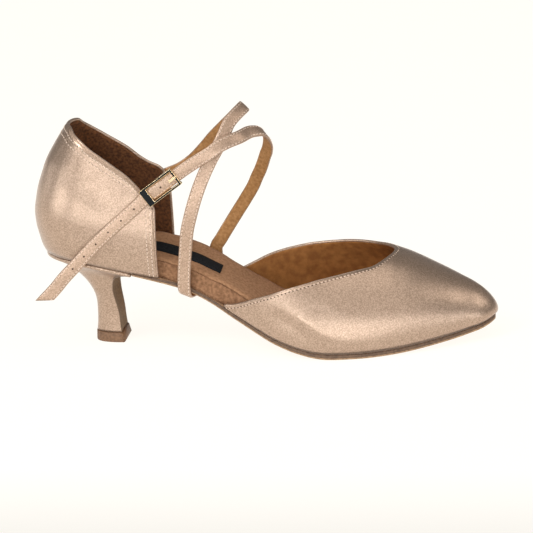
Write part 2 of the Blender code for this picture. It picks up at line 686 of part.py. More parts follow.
STRAP_INNER = (
    (0.3472, 0.003, -1.4182, 180, 63), (0.3593, 0.214, -1.3924, 180, 63),
    (0.3652, 0.321, -1.2868, 172, 63), (0.3681, 0.379, -0.4032, 118, 63),
    (0.3677, 0.373, 0.0546, 97, 60), (0.3677, 0.371, 0.1323, 93, 55),
    (0.3803, 0.393, 0.2015, 90, 50), (0.3992, 0.446, 0.2933, 88, 45),
    (0.4180, 0.473, 0.3795, 84, 45), (0.4377, 0.482, 0.4632, 79, 45),
    (0.4570, 0.464, 0.5454, 72, 45), (0.4667, 0.438, 0.5956, 66, 45),
    (0.4771, 0.393, 0.6439, 58, 45), (0.4868, 0.339, 0.6954, 48, 45),
    (0.4935, 0.286, 0.7340, 40, 45), (0.5019, 0.223, 0.7770, 30, 45),
    (0.5061, 0.152, 0.8228, 19, 45), (0.5027, 0.071, 0.8680, 6, 45),
    (0.4918, 0.000, 0.8922, -8, 45), (0.4755, -0.082, 0.8965, -24, 45),
    (0.4578, -0.236, 0.8896, -46, 45), (0.4386, -0.321, 0.8793, -58, 45),
    (0.4186, -0.389, 0.8605, -68, 45), (0.3973, -0.429, 0.8218, -76, 45),
    (0.3750, -0.443, 0.7851, -81, 45), (0.3524, -0.448, 0.7428, -85, 45),
    (0.3318, -0.452, 0.7001, -88, 45), (0.2844, -0.461, 0.5916, -90, 45),
    (0.2495, -0.470, 0.5134, -90, 45), (0.2260, -0.482, 0.4453, -90, 45),
    (0.2033, -0.500, 0.3814, -90, 45), (0.1794, -0.518, 0.3149, -90, 45),
    (0.1574, -0.529, 0.2456, -90, 45), (0.1339, -0.536, 0.1677, -90, 45),
    (0.1103, -0.545, 0.0811, -90, 45), (0.0864, -0.550, -0.1631, -90, 45),
    (0.0624, -0.554, -1.8493, -90, 45), (0.0404, -0.554, -3.5234, -90, 45),
    (0.0148, -0.554, -5.2190, -90, 45),
)
STRAP_UNDER = SOLE + GAP + STRAP_THICK / 2  # from the bed down to a strap's middle under the sole
STRAP_STEP = 0.0045
STRAP_BEND = math.radians(16)  # the most that it turns from station to station
STRAP_FOLD = 0.0005  # how much thinner the folded edges are than the middle


def strap_place(row):
    """A strap's middle at a row of its table."""
    foot = bed(row[0])
    reach = INSTEP_TOP - foot if row[2] > 0 else STRAP_UNDER
    return Vector((x_at(row[0]), INSTEP_WIDTH * row[1], foot + row[2] * reach))


def strap_line(rows):
    """Frames along a strap: its middle, the way it runs, its outer face, its width; and stations."""
    places = [strap_place(row) for row in rows]
    way = [0.0]
    for before, after in zip(places, places[1:]):
        way.append(way[-1] + (after - before).length)
    curves = [through([(w,) for w in way], 0, [p[i] for p in places]) for i in range(3)]
    turn = through([(w,) for w in way], 0, [math.radians(r[3]) for r in rows])
    lean = through([(w,) for w in way], 0, [math.radians(r[4]) for r in rows])

    def frame(at):
        middle = Vector([curve(at) for curve in curves])
        nudge = STRAP_STEP / 4
        run = Vector([curve(at + nudge) - curve(at - nudge) for curve in curves]).normalized()
        crest = Vector((math.cos(lean(at)), 0.0, math.sin(lean(at))))
        face = crest * math.cos(turn(at)) + Vector((0.0, math.sin(turn(at)), 0.0))
        face = (face - run * face.dot(run)).normalized()
        return middle, run, face, run.cross(face)

    stations = [0.0]
    for i in range(len(rows) - 1):
        bend = abs(math.radians(rows[i + 1][3] - rows[i][3]))
        count = max(math.ceil((way[i + 1] - way[i]) / STRAP_STEP), math.ceil(bend / STRAP_BEND))
        stations += [way[i] + (way[i + 1] - way[i]) * (k + 1) / count for k in range(count)]
    return frame, stations


def strap(name, rows, start_cut, end_cut):
    """A folded strap; a cut is how far each end slants along the strap for its width across."""
    frame, stations = strap_line(rows)
    half, thick = STRAP_WIDTH / 2, STRAP_THICK / 2
    loops = []
    for at in stations:
        middle, run, face, across = frame(at)
        cut = {stations[0]: start_cut, stations[-1]: end_cut}.get(at, 0.0)
        loop = []
        for y, z in (
            (-half, -thick), (half, -thick), (half, thick - STRAP_FOLD), (0.45 * half, thick),
            (-0.45 * half, thick), (-half, thick - STRAP_FOLD),
        ):
            loop.append(middle + across * y + face * z + run * (cut * y))
        loops.append(loop)
    return add(name, loft(name, loops), STRAP_SATIN)


# Buckle: a flat frame over the strap, with a broad bar towards the heel and a bar under the strap
BUCKLE_ALONG_SHARE = 0.2864  # share of LENGTH, its middle
BUCKLE_CLEAR = STRAP_WIDTH / 2 + GAP
BUCKLE_HALF = BUCKLE_CLEAR + BUCKLE_RAIL
RAIL_DROP = 0.0004  # how far the side rails reach below the strap's middle
FRONT_BAR = 0.0013
CROSS_BAR = 0.0012  # the hidden bar is twice as wide and once as thick
BUCKLE_EDGE = 0.00025
PRONG_REACH = 0.0034  # back over the strap from the front bar
PRONG_OVER = 0.0002  # how far the prong stops short of the front bar's edge
PRONG_WIDTH = 0.0016
PRONG_THICK = 0.0008
PRONG_EDGE = 0.0002


def buckle_place():
    """The frame of the strap under the buckle's middle."""
    frame, stations = strap_line(STRAP_INNER)
    middle = x_at(BUCKLE_ALONG_SHARE)
    low, high = stations[-1] / 2, stations[-1]
    for _ in range(40):
        at = (low + high) / 2
        if frame(at)[0].x > middle:
            low = at
        else:
            high = at
    place, run, face, across = frame(at)
    return place, -run, face, across


def blocks(name, place, breaks, filled):
    """A solid of the filled cells of a grid whose axes run along, across and out of the strap."""
    origin, run, face, across = place
    grid = []
    index = {}

    def corner(i, j, k):
        if (i, j, k) not in index:
            index[(i, j, k)] = len(grid)
            u, v, w = breaks[0][i], breaks[1][j], breaks[2][k]
            grid.append(origin + run * u + across * v + face * w)
        return index[(i, j, k)]

    faces = []
    for i, j, k in filled:
        for axis in range(3):
            for way in (0, 1):
                beside = [i, j, k]
                beside[axis] += 1 if way else -1
                if tuple(beside) in filled:
                    continue
                b, c = [a for a in range(3) if a != axis]
                side = []
                for db, dc in ((0, 0), (1, 0), (1, 1), (0, 1)):
                    at = [i, j, k]
                    at[axis] += way
                    at[b] += db
                    at[c] += dc
                    side.append(corner(*at))
                faces.append(tuple(side))
    return mesh_from(name, grid, faces)


def soften(made, width):
    edge = made.modifiers.new("Soft edges", "BEVEL")
    edge.width = width
    edge.segments = 1
    edge.limit_method = "ANGLE"
    edge.angle_limit = math.radians(40)
    return edge


def buckle_frame():
    half_long = BUCKLE_LENGTH / 2
    top = STRAP_THICK / 2 + GAP + BUCKLE_THICK
    under = STRAP_THICK / 2 + GAP
    breaks = (
        (-half_long, -half_long + BUCKLE_BAR, -CROSS_BAR, CROSS_BAR, half_long - FRONT_BAR, half_long),
        (-BUCKLE_HALF, -BUCKLE_CLEAR, BUCKLE_CLEAR, BUCKLE_HALF),
        (-under - CROSS_BAR, -under, -RAIL_DROP, under, top),
    )
    filled = {(i, j, 3) for i in range(5) for j in range(3) if j != 1 or i in (0, 4)}
    filled |= {(i, j, 2) for i in range(5) for j in (0, 2)}
    filled |= {(2, 0, 1), (2, 2, 1), (2, 0, 0), (2, 1, 0), (2, 2, 0)}
    made = add("buckle_frame", blocks("buckle_frame", buckle_place(), breaks, filled), ENAMEL)
    soften(made, BUCKLE_EDGE)
    return made


def buckle_prong():
    half_long = BUCKLE_LENGTH / 2
    rest = STRAP_THICK / 2 + GAP + BUCKLE_THICK + GAP
    dip = STRAP_THICK / 2 + GAP
    breaks = (
        (half_long - FRONT_BAR - PRONG_REACH, half_long - FRONT_BAR - GAP, half_long - PRONG_OVER),
        (-PRONG_WIDTH / 2, PRONG_WIDTH / 2),
        (dip, rest, rest + PRONG_THICK),
    )
    filled = {(0, 0, 0), (0, 0, 1), (1, 0, 1)}
    made = add("buckle_prong", blocks("buckle_prong", buckle_place(), breaks, filled), GOLD)
    soften(made, PRONG_EDGE)
    return made


# Tab: the short strap that holds the buckle's hidden bar to the cup's outer front edge
TAB_THICK = 0.0012
TAB_WIDTH = 0.0066
TAB_FROM = (0.885, 0.985)  # the stretch of the collar's outer front corner that it leaves from
TAB_HEAD = 0.0012  # how far its end lies past the middle of the hidden bar
TAB_CLEAR = 0.00075  # from the cup's edge
TAB_STEPS = 4


def buckle_tab():
    place, run, face, across = buckle_place()
    under = STRAP_THICK / 2 + 2 * GAP + CROSS_BAR + TAB_THICK / 2
    head = place - face * under + run * TAB_HEAD
    high = cup_point(TAB_FROM[0], OUTER, collar[OUTER](TAB_FROM[0]))
    low = cup_point(TAB_FROM[1], OUTER, collar[OUTER](TAB_FROM[1]))
    root = (high + low) / 2 + Vector((0.0, CUP_WALL / 2, 0.0)) + run * TAB_CLEAR
    edge = (high - low).normalized()
    loops = []
    half = TAB_WIDTH / 2
    over = across if across.dot(edge) > 0 else -across
    for i in range(TAB_STEPS + 1):
        t = i / TAB_STEPS
        middle = root.lerp(head, t)
        wide = edge.lerp(over, min(1.0, 2 * t)).normalized()
        loops.append([
            middle + wide * y + face * z
            for y, z in ((-half, -TAB_THICK / 2), (half, -TAB_THICK / 2),
                         (half, TAB_THICK / 2), (-half, TAB_THICK / 2))
        ])
    return add("buckle_tab", loft("buckle_tab", loops), STRAP_SATIN)


outsole()
insole()
sock()
sock_label()
vamp()
counter()
heel()
heel_tip()
strap("strap_outer", STRAP_OUTER, -0.25, 0.0)
strap("strap_inner", STRAP_INNER, 0.0, 1.05)
buckle_frame()
buckle_prong()
buckle_tab()
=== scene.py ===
"""Looks of the ballroom dance shoe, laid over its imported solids.

Metres. The origin is the middle of the heel tip, on the floor. +X runs to the toe, +Y to the inner
side of the foot, +Z up.
"""

import math

import bmesh
import bpy
import numpy as np
from mathutils import Matrix, Vector
from mathutils.bvhtree import BVHTree


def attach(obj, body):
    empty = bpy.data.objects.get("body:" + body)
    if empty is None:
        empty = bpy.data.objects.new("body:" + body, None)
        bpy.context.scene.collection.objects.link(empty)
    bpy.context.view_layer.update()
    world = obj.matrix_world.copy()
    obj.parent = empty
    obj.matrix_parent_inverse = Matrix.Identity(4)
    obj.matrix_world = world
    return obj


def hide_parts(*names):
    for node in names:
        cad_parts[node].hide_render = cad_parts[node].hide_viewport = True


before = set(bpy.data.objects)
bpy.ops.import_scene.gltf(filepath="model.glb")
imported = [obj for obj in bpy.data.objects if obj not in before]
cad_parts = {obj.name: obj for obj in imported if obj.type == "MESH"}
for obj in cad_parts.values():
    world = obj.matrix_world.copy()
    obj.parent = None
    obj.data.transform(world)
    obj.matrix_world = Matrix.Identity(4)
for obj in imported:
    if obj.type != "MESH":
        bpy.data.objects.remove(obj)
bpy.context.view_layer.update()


# Studio: a long lens from the shoe's outer side, a little from its toe and from above, held with a
# slight tilt. The shoe stands on a pale sweep of paper under soft boxes.
VIEW_TURN = math.radians(9.04)
VIEW_RISE = math.radians(17.09)
VIEW_TILT = math.radians(-2.87)
VIEW_DISTANCE = 1.744
VIEW_LENS = 221.8
VIEW_MIDDLE = Vector((0.0854, 0.0, 0.0393))

back = Vector((
    math.sin(VIEW_TURN) * math.cos(VIEW_RISE),
    -math.cos(VIEW_TURN) * math.cos(VIEW_RISE),
    math.sin(VIEW_RISE),
))
level = Vector((math.cos(VIEW_TURN), math.sin(VIEW_TURN), 0.0))
rise = back.cross(level)
right = level * math.cos(VIEW_TILT) + rise * math.sin(VIEW_TILT)
upright = rise * math.cos(VIEW_TILT) - level * math.sin(VIEW_TILT)
camera = bpy.data.objects.new("camera", bpy.data.cameras.new("camera"))
bpy.context.scene.collection.objects.link(camera)
camera.data.lens = VIEW_LENS
camera.data.sensor_width = 36.0
camera.data.clip_end = 20.0
place = Matrix((right, upright, back)).transposed().to_4x4()
place.translation = VIEW_MIDDLE + back * VIEW_DISTANCE
camera.matrix_world = place
bpy.context.scene.camera = camera
bpy.context.scene.view_settings.view_transform = "Standard"


SHOE_MIDDLE = (0.07, 0.0, 0.04)


def soft_box(name, where, size, power, tint):
    lamp = bpy.data.lights.new(name, "AREA")
    lamp.shape = "RECTANGLE"
    lamp.size, lamp.size_y = size
    lamp.energy = power
    lamp.color = tint
    stand = bpy.data.objects.new(name, lamp)
    stand.location = where
    aim = Vector(SHOE_MIDDLE) - Vector(where)
    stand.rotation_euler = aim.to_track_quat("-Z", "Y").to_euler()
    bpy.context.scene.collection.objects.link(stand)


COOL = (0.93, 0.97, 1.0)
WARM = (1.0, 0.97, 0.93)
STRIP_AWAY = 1.4
STRIP_TALL = 0.09
for name, turn, height, width, power in (
    ("front_strip", 0.0, 0.11, 2.2, 7.6), ("left_front_strip", -60.0, 0.19, 0.8, 2.6),
    ("left_strip", -98.0, 0.20, 0.5, 0.5), ("right_front_strip", 56.0, 0.16, 0.9, 1.7),
):
    away = math.radians(turn)
    where = (SHOE_MIDDLE[0] + STRIP_AWAY * math.sin(away), -STRIP_AWAY * math.cos(away), height)
    soft_box(name, where, (width, STRIP_TALL), power, COOL)
soft_box("front_wall", (0.12, -1.5, 1.25), (4.4, 1.7), 18.5, WARM)
soft_box("overhead", (0.15, -0.25, 1.5), (1.8, 1.3), 8.5, WARM)
soft_box("toe_side", (1.36, 0.08, 0.85), (0.9, 0.5), 2.6, WARM)
soft_box("key", (-0.65, -0.85, 1.15), (0.45, 0.45), 8.0, COOL)

surround = bpy.data.worlds.new("surround")
bpy.context.scene.world = surround
surround.use_nodes = True
surround.node_tree.nodes["Background"].inputs["Color"].default_value = (1.0, 0.985, 0.96, 1.0)
surround.node_tree.nodes["Background"].inputs["Strength"].default_value = 0.15


def plain_finish(name, colour, roughness, metallic=0.0):
    """A new finish with its shader's own values set; what varies is wired afterwards."""
    finish = bpy.data.materials.new(name)
    finish.use_nodes = True
    shader = finish.node_tree.nodes["Principled BSDF"]
    shader.inputs["Base Color"].default_value = (*colour, 1.0)
    shader.inputs["Roughness"].default_value = roughness
    shader.inputs["Metallic"].default_value = metallic
    return finish


WELD = 2e-6


def new_piece(name, points, faces, finishes, slots=None):
    """A smooth mesh with one finish for each face's slot."""
    mesh = bpy.data.meshes.new(name)
    mesh.from_pydata([tuple(p) for p in points], [], faces)
    for i, slot in enumerate(slots or []):
        mesh.polygons[i].material_index = slot
    shape = bmesh.new()
    shape.from_mesh(mesh)
    bmesh.ops.remove_doubles(shape, verts=shape.verts, dist=WELD)
    bmesh.ops.dissolve_degenerate(shape, edges=shape.edges, dist=WELD / 10)
    bmesh.ops.recalc_face_normals(shape, faces=shape.faces)
    shape.to_mesh(mesh)
    shape.free()
    mesh.shade_smooth()
    piece = bpy.data.objects.new(name, mesh)
    bpy.context.scene.collection.objects.link(piece)
    for finish in finishes:
        mesh.materials.append(finish)
    return piece


# The paper glows: painted light that lights the shoe from below and shows in its satin. In front of the
# shoe the glow fades, from full at PAPER_FAR to about a third at PAPER_NEAR: painted shade that the
# satin reflects as a dark band under its highlight.
PAPER_HALF = 3.0
PAPER_NEAR, PAPER_FAR = -0.58, -0.20
PAPER = plain_finish("Pale paper", (0.12, 0.12, 0.115), 0.9)
sweep = new_piece(
    "paper_sweep",
    [(x * PAPER_HALF, y * PAPER_HALF, 0.0) for x, y in ((-1, -1), (1, -1), (1, 1), (-1, 1))],
    [(0, 1, 2, 3)], [PAPER],
)
paper_tree = PAPER.node_tree
paper_shader = paper_tree.nodes["Principled BSDF"]
paper_shader.inputs["Emission Strength"].default_value = 0.96
paper_place = paper_tree.nodes.new("ShaderNodeTexCoord")
paper_depth = paper_tree.nodes.new("ShaderNodeSeparateXYZ")
paper_reach = paper_tree.nodes.new("ShaderNodeMapRange")
paper_reach.inputs["From Min"].default_value = PAPER_NEAR
paper_reach.inputs["From Max"].default_value = PAPER_FAR
# The paper's painted glow, dim in front and full from PAPER_FAR back.
paper_painted_glow = paper_tree.nodes.new("ShaderNodeValToRGB")
paper_painted_glow.color_ramp.elements[0].color = (0.30, 0.285, 0.27, 1.0)
paper_painted_glow.color_ramp.elements[1].color = (1.0, 0.965, 0.905, 1.0)
paper_tree.links.new(paper_place.outputs["Object"], paper_depth.inputs["Vector"])
paper_tree.links.new(paper_depth.outputs["Y"], paper_reach.inputs["Value"])
paper_tree.links.new(paper_reach.outputs["Result"], paper_painted_glow.inputs["Fac"])
paper_tree.links.new(paper_painted_glow.outputs["Color"], paper_shader.inputs["Emission Color"])


# Outsole: one thin piece of split leather, brushed underneath, dark round its side and tan on its lower
# bevel, glued to the lasted shoe. It runs from the front of the heel to the toe.
SHOE_LENGTH = 0.2385
BALL = 0.078
SEAT = 0.0518
WAIST = 0.784 * SEAT
SEAT_BEHIND_TIP = 0.0325
HEEL_RISE = 0.0482
TOE_SPRING = 0.0087
SOLE = 0.0028
GAP = 0.0003
OUTER, INNER = -1, 1

# Columns: share of the length, share of HEEL_RISE, share of TOE_SPRING
LAST_BOTTOM = (
    (0.000, 1.000, 0.0), (0.052, 0.988, 0.0), (0.094, 0.965, 0.0), (0.136, 0.922, 0.0),
    (0.178, 0.875, 0.0), (0.220, 0.828, 0.0), (0.262, 0.782, 0.0), (0.304, 0.728, 0.0),
    (0.346, 0.640, 0.0), (0.375, 0.560, 0.0), (0.400, 0.487, 0.0), (0.423, 0.414, 0.0),
    (0.447, 0.347, 0.0), (0.470, 0.285, 0.0), (0.493, 0.225, 0.0), (0.515, 0.170, 0.0),
    (0.539, 0.122, 0.0), (0.560, 0.086, 0.0), (0.581, 0.056, 0.0), (0.606, 0.026, 0.0),
    (0.627, 0.008, 0.0), (0.643, 0.0, 0.0),
    (0.725, 0.0, 0.0), (0.765, 0.0, 0.035), (0.807, 0.0, 0.110), (0.849, 0.0, 0.230),
    (0.891, 0.0, 0.370), (0.933, 0.0, 0.530), (0.975, 0.0, 0.770), (1.000, 0.0, 1.000),
)
# Columns: share of the length, the width it follows, its outer share, its inner share
FEATHER_EDGE = (
    (0.000, SEAT, 0.450, 0.450), (0.110, SEAT, 0.493, 0.492), (0.157, SEAT, 0.502, 0.498),
    (0.199, SEAT, 0.498, 0.486), (0.241, SEAT, 0.483, 0.452), (0.283, WAIST, 0.591, 0.507),
    (0.325, WAIST, 0.567, 0.448), (0.367, WAIST, 0.567, 0.433), (0.409, WAIST, 0.612, 0.478),
    (0.451, BALL, 0.359, 0.295), (0.493, BALL, 0.410, 0.353), (0.535, BALL, 0.456, 0.405),
    (0.577, BALL, 0.490, 0.446), (0.618, BALL, 0.505, 0.477), (0.660, BALL, 0.503, 0.495),
    (0.702, BALL, 0.485, 0.497), (0.744, BALL, 0.451, 0.487), (0.786, BALL, 0.408, 0.464),
    (0.828, BALL, 0.354, 0.428), (0.870, BALL, 0.287, 0.382), (0.912, BALL, 0.210, 0.323),
    (0.954, BALL, 0.123, 0.249), (1.000, BALL, 0.058, 0.205),
)
SEAT_ROUND = 0.109
TOE_ROUND = 0.042


def through(rows, column, values=None):
    """A curve through a column of a table that bends only where the table does."""
    x = np.array([row[0] for row in rows])
    y = np.array(values if values is not None else [row[column] for row in rows])
    step = np.diff(x)
    slope = np.diff(y) / step
    tangent = np.zeros(len(x))
    for i in range(1, len(x) - 1):
        if slope[i - 1] * slope[i] > 0:
            before = 2 * step[i] + step[i - 1]
            after = step[i] + 2 * step[i - 1]
            tangent[i] = (before + after) / (before / slope[i - 1] + after / slope[i])
    tangent[0], tangent[-1] = slope[0], slope[-1]

    def value(at):
        at = min(max(at, x[0]), x[-1])
        i = min(int(np.searchsorted(x, at, side="right")) - 1, len(step) - 1)
        t = (at - x[i]) / step[i]
        return float(
            y[i] * (1 + 2 * t) * (1 - t) ** 2
            + tangent[i] * step[i] * t * (1 - t) ** 2
            + y[i + 1] * t * t * (3 - 2 * t)
            - tangent[i + 1] * step[i] * t * t * (1 - t)
        )

    return value


bottom_rise = through(LAST_BOTTOM, 1)
bottom_spring = through(LAST_BOTTOM, 2)
feather = {
    OUTER: through(FEATHER_EDGE, 0, [row[1] * row[2] for row in FEATHER_EDGE]),
    INNER: through(FEATHER_EDGE, 0, [row[1] * row[3] for row in FEATHER_EDGE]),
}


def x_at(along):
    return along * SHOE_LENGTH - SEAT_BEHIND_TIP


def along_at(x):
    return (x + SEAT_BEHIND_TIP) / SHOE_LENGTH


def bed(along):
    """Height of the last's underside over the floor."""
    return SOLE + HEEL_RISE * bottom_rise(along) + TOE_SPRING * bottom_spring(along)


def half_width(along, side):
    """Distance of the feather edge from the line through heel and toe."""
    half = feather[side](along)
    middle = 0.0
    left = 1.0
    if along < SEAT_ROUND:
        left = math.sqrt(max(0.0, 1 - (1 - along / SEAT_ROUND) ** 2))
    if along > 1 - TOE_ROUND:
        left = math.sqrt(max(0.0, 1 - (1 - (1 - along) / TOE_ROUND) ** 2))
        middle = side * (feather[INNER](along) - feather[OUTER](along)) / 2
    return middle + (half - middle) * left


def spread(first, last, count, crowd_first=False, crowd_last=False):
    """Stations from first to last, crowded where the outline turns round an end."""
    stations = []
    for i in range(count + 1):
        t = i / count
        if crowd_last:
            t = math.sin(math.pi * t / 2)
        elif crowd_first:
            t = 1 - math.cos(math.pi * t / 2)
        stations.append(first + (last - first) * t)
    return stations


def loft(name, loops, finishes, slot_of=None):
    """A closed piece through loops of as many points; slot_of gives each side's finish."""
    count = len(loops[0])
    points = [p for loop in loops for p in loop]
    faces = [tuple(range(count))]
    slots = [0]
    for i in range(len(loops) - 1):
        for j in range(count):
            k = (j + 1) % count
            faces.append((i * count + j, i * count + k, (i + 1) * count + k, (i + 1) * count + j))
            slots.append(slot_of[j] if slot_of else 0)
    faces.append(tuple(reversed(range((len(loops) - 1) * count, len(loops) * count))))
    slots.append(0)
    return new_piece(name, points, faces, finishes, slots)


def noise(tree, place_at, scale, detail, broken=0.5):
    speck = tree.nodes.new("ShaderNodeTexNoise")
    speck.inputs["Scale"].default_value = scale
    speck.inputs["Detail"].default_value = detail
    speck.inputs["Roughness"].default_value = broken
    tree.links.new(place_at.outputs["Object"], speck.inputs["Vector"])
    return speck.outputs["Fac"]


def grain(
    finish, scale, depth, dark, light, low=0.35, high=0.65, detail=6.0, broken=0.5, nap=None,
):
    """Colour that wanders between two tones and a fine bump, both from noise in the shoe's metres;
    nap is the bump's scale and detail."""
    tree = finish.node_tree
    shader = tree.nodes["Principled BSDF"]
    place_at = tree.nodes.new("ShaderNodeTexCoord")
    tones = tree.nodes.new("ShaderNodeValToRGB")
    for stop, position, colour in zip(tones.color_ramp.elements, (low, high), (dark, light)):
        stop.position = position
        stop.color = (*colour, 1.0)
    tree.links.new(noise(tree, place_at, scale, detail, broken), tones.inputs["Fac"])
    tree.links.new(tones.outputs["Color"], shader.inputs["Base Color"])
    bump = tree.nodes.new("ShaderNodeBump")
    bump.inputs["Strength"].default_value = 1.0
    bump.inputs["Distance"].default_value = depth
    tree.links.new(noise(tree, place_at, *(nap or (3 * scale, 4.0))), bump.inputs["Height"])
    tree.links.new(bump.outputs["Normal"], shader.inputs["Normal"])
    return finish


SPLIT_LEATHER = grain(
    plain_finish("Split leather", (0.33, 0.19, 0.10), 0.92), 420.0, 0.0003,
    (0.25, 0.135, 0.07), (0.42, 0.25, 0.14),
)
DARK_SOLE_SIDE = grain(
    plain_finish("Dark sole side", (0.10, 0.055, 0.03), 0.6), 700.0, 0.0001,
    (0.085, 0.045, 0.025), (0.16, 0.09, 0.05),
)
RIM_TAN = grain(
    plain_finish("Tan rim", (0.36, 0.22, 0.12), 0.8), 600.0, 0.0001,
    (0.27, 0.155, 0.08), (0.46, 0.29, 0.16),
)

SOLE_START = 0.209
SOLE_CROWD = 0.88
SOLE_TIP = 0.9995
SOLE_BEVEL = 0.0006
# Inset from the sole's side, and how far below its upper face or over its lower one, on the bevel
UPPER_EDGE = ((0.6, 0.0), (0.0, 0.6))
LOWER_EDGE = ((0.0, 1.7), (0.25, 0.5), (1.4, 0.0))
SKIVE_END = 0.300
SKIVE = 0.48


def sole_loop(along):
    x, top = x_at(along), bed(along)
    outer, inner = half_width(along, OUTER), half_width(along, INNER)
    bevel = min(SOLE_BEVEL, 0.25 * (outer + inner))
    way = min(1.0, (along - SOLE_START) / (SKIVE_END - SOLE_START))
    foot = top - SOLE * (SKIVE + (1 - SKIVE) * way)
    edge = [(inset * bevel, top - drop * bevel) for inset, drop in UPPER_EDGE]
    edge += [(inset * bevel, foot + lift * bevel) for inset, lift in LOWER_EDGE]
    loop = [(x, -outer + inset, z) for inset, z in edge]
    loop += [(x, inner - inset, z) for inset, z in reversed(edge)]
    return loop


sole_stations = spread(SOLE_START, SOLE_CROWD, 70)
sole_stations += spread(SOLE_CROWD, SOLE_TIP, 26, crowd_last=True)[1:]
# Finishes round the loop: dark on the upper bevel and side, tan on the lower bevel, brushed leather
# under it and on top.
outsole = loft(
    "outsole_leather", [sole_loop(along) for along in sole_stations],
    [SPLIT_LEATHER, DARK_SOLE_SIDE, RIM_TAN], [1, 1, 2, 2, 0, 2, 2, 1, 1, 0],
)
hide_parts("outsole")
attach(outsole, "root")


# Insole: the shaped board with its arch padding, wrapped in soft suede that shows at the open waist.
# It is tacked to the last first, and the upper is pulled over it.
CUP_WALL = 0.0018
VAMP_WALL = 0.0016
CUP_FRONT = {OUTER: 0.265, INNER: 0.271}
WING_START = 0.412
WALL_EASE = 0.022
WALL_LEAD = 0.0286
ARCH_PAD = 0.0106
EDGE_ROLL = 0.0030
INNER_RISE = 0.0034
BOARD_EASE = 0.0006
BOARD_START, BOARD_END = 0.0125, 0.985
HEEL_CROWD, TOE_CROWD = 0.13, 0.86
# Columns: share of the length, share of ARCH_PAD, share of EDGE_ROLL, share of INNER_RISE
INSOLE = (
    (0.000, 0.453, 0.33, 0.00), (0.130, 0.585, 0.33, 0.15), (0.220, 0.736, 0.50, 0.59),
    (0.262, 0.792, 0.50, 0.94), (0.304, 0.792, 0.47, 1.00), (0.350, 0.887, 0.47, 0.94),
    (0.390, 0.925, 0.47, 0.82), (0.430, 1.000, 0.73, 0.41), (0.470, 0.943, 1.00, 0.12),
    (0.510, 0.755, 1.00, 0.00), (0.570, 0.547, 0.67, 0.00), (0.640, 0.377, 0.40, 0.00),
    (0.760, 0.283, 0.33, 0.00), (1.000, 0.245, 0.27, 0.00),
)
insole_thick = through(INSOLE, 1)
insole_roll = through(INSOLE, 2)
insole_lift = through(INSOLE, 3)


def inside(along, side, inset):
    """Distance from the middle line of a curve that keeps an inset inside the feather edge."""
    turns = [math.pi * i / 12 for i in range(-6, 7)]
    return min(
        half_width(min(max(along + inset * math.sin(turn) / SHOE_LENGTH, 0.0), 1.0), side)
        - inset * math.cos(turn)
        for turn in turns
    )


def insole_side(along, side):
    into_cup = (CUP_FRONT[INNER] + WALL_LEAD - along) / WALL_EASE
    into_vamp = (along - WING_START + WALL_LEAD) / WALL_EASE
    cup = (CUP_WALL + GAP) * min(max(into_cup, 0.0), 1.0)
    vamp = (VAMP_WALL + GAP) * min(max(into_vamp, 0.0), 1.0)
    return inside(along, side, BOARD_EASE + max(cup, vamp))


def insole_top(along, across):
    """Height of the insole's upper face; across runs from -1, outer, to 1, inner."""
    lift = INNER_RISE * insole_lift(along) * (across + 1) / 2
    return bed(along) + GAP + ARCH_PAD * insole_thick(along) + lift


def shoulder_of(along):
    width = insole_side(along, OUTER) + insole_side(along, INNER)
    return min(EDGE_ROLL * insole_roll(along), 0.2 * width)


SHOULDER_STEPS = 10


def insole_loop(along):
    x, low = x_at(along), bed(along) + GAP
    loop = []
    for side in (OUTER, INNER):
        half, shoulder = insole_side(along, side), shoulder_of(along)
        top = insole_top(along, side)
        edge = []
        for i in range(SHOULDER_STEPS + 1):
            turn = math.pi / 2 * i / SHOULDER_STEPS
            inset = shoulder * (1 - math.cos(turn) ** 0.9)
            edge.append((half - inset, low + (top - low) * math.sin(turn) ** 0.8))
        if side == INNER:
            edge.reverse()
        loop += [(x, side * y, z) for y, z in edge]
    return loop


WRAP_SUEDE = grain(
    plain_finish("Mottled wrap suede", (0.30, 0.15, 0.07), 0.95), 620.0, 0.0003,
    (0.175, 0.080, 0.035), (0.345, 0.175, 0.088), 0.34, 0.68, 9.0,
)
insole_stations = spread(BOARD_START, HEEL_CROWD, 14, crowd_first=True)
insole_stations += spread(HEEL_CROWD, TOE_CROWD, 80)[1:]
insole_stations += spread(TOE_CROWD, BOARD_END, 14, crowd_last=True)[1:]
insole = loft("insole_wrap", [insole_loop(along) for along in insole_stations], [WRAP_SUEDE])
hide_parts("insole")
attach(insole, "root")


# Sock: the thin suede lining glued over the insole, from the heel to the toes, with a woven label.
SOCK = 0.0012
SOCK_INSET = 0.0005
SOCK_ROUND = 0.0012
SOCK_RIM = 0.45
SOCK_START, SOCK_END = 0.017, 0.90
LABEL = 0.0005


def sock_side(along, side):
    return insole_side(along, side) - shoulder_of(along) - SOCK_INSET


def sock_loop(along):
    x = x_at(along)
    outer, inner = -sock_side(along, OUTER), sock_side(along, INNER)
    middle, half = (outer + inner) / 2, (inner - outer) / 2
    round_off = min(SOCK_ROUND, 0.3 * half)
    loop = [(x, y, insole_top(along, side) + 0.4 * GAP) for y, side in ((outer, OUTER), (inner, INNER))]
    for i in range(13):
        across = 1 - i / 6
        rim = 1 - max(0.0, abs(across) * half - half + round_off) / round_off
        thick = SOCK * (SOCK_RIM + (1 - SOCK_RIM) * math.sqrt(max(rim, 0.0)))
        loop.append((x, middle + across * half, insole_top(along, across) + GAP + thick))
    return loop


SOCK_SUEDE = grain(
    plain_finish("Brown sock suede", (0.28, 0.15, 0.08), 0.97), 700.0, 0.0002,
    (0.29, 0.145, 0.070), (0.45, 0.235, 0.120), 0.34, 0.68, 9.0,
)
sock_stations = spread(SOCK_START, HEEL_CROWD, 14, crowd_first=True)
sock_stations += spread(HEEL_CROWD, SOCK_END, 70)[1:]
sock = loft("sock_lining", [sock_loop(along) for along in sock_stations], [SOCK_SUEDE])
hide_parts("sock")
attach(sock, "root")

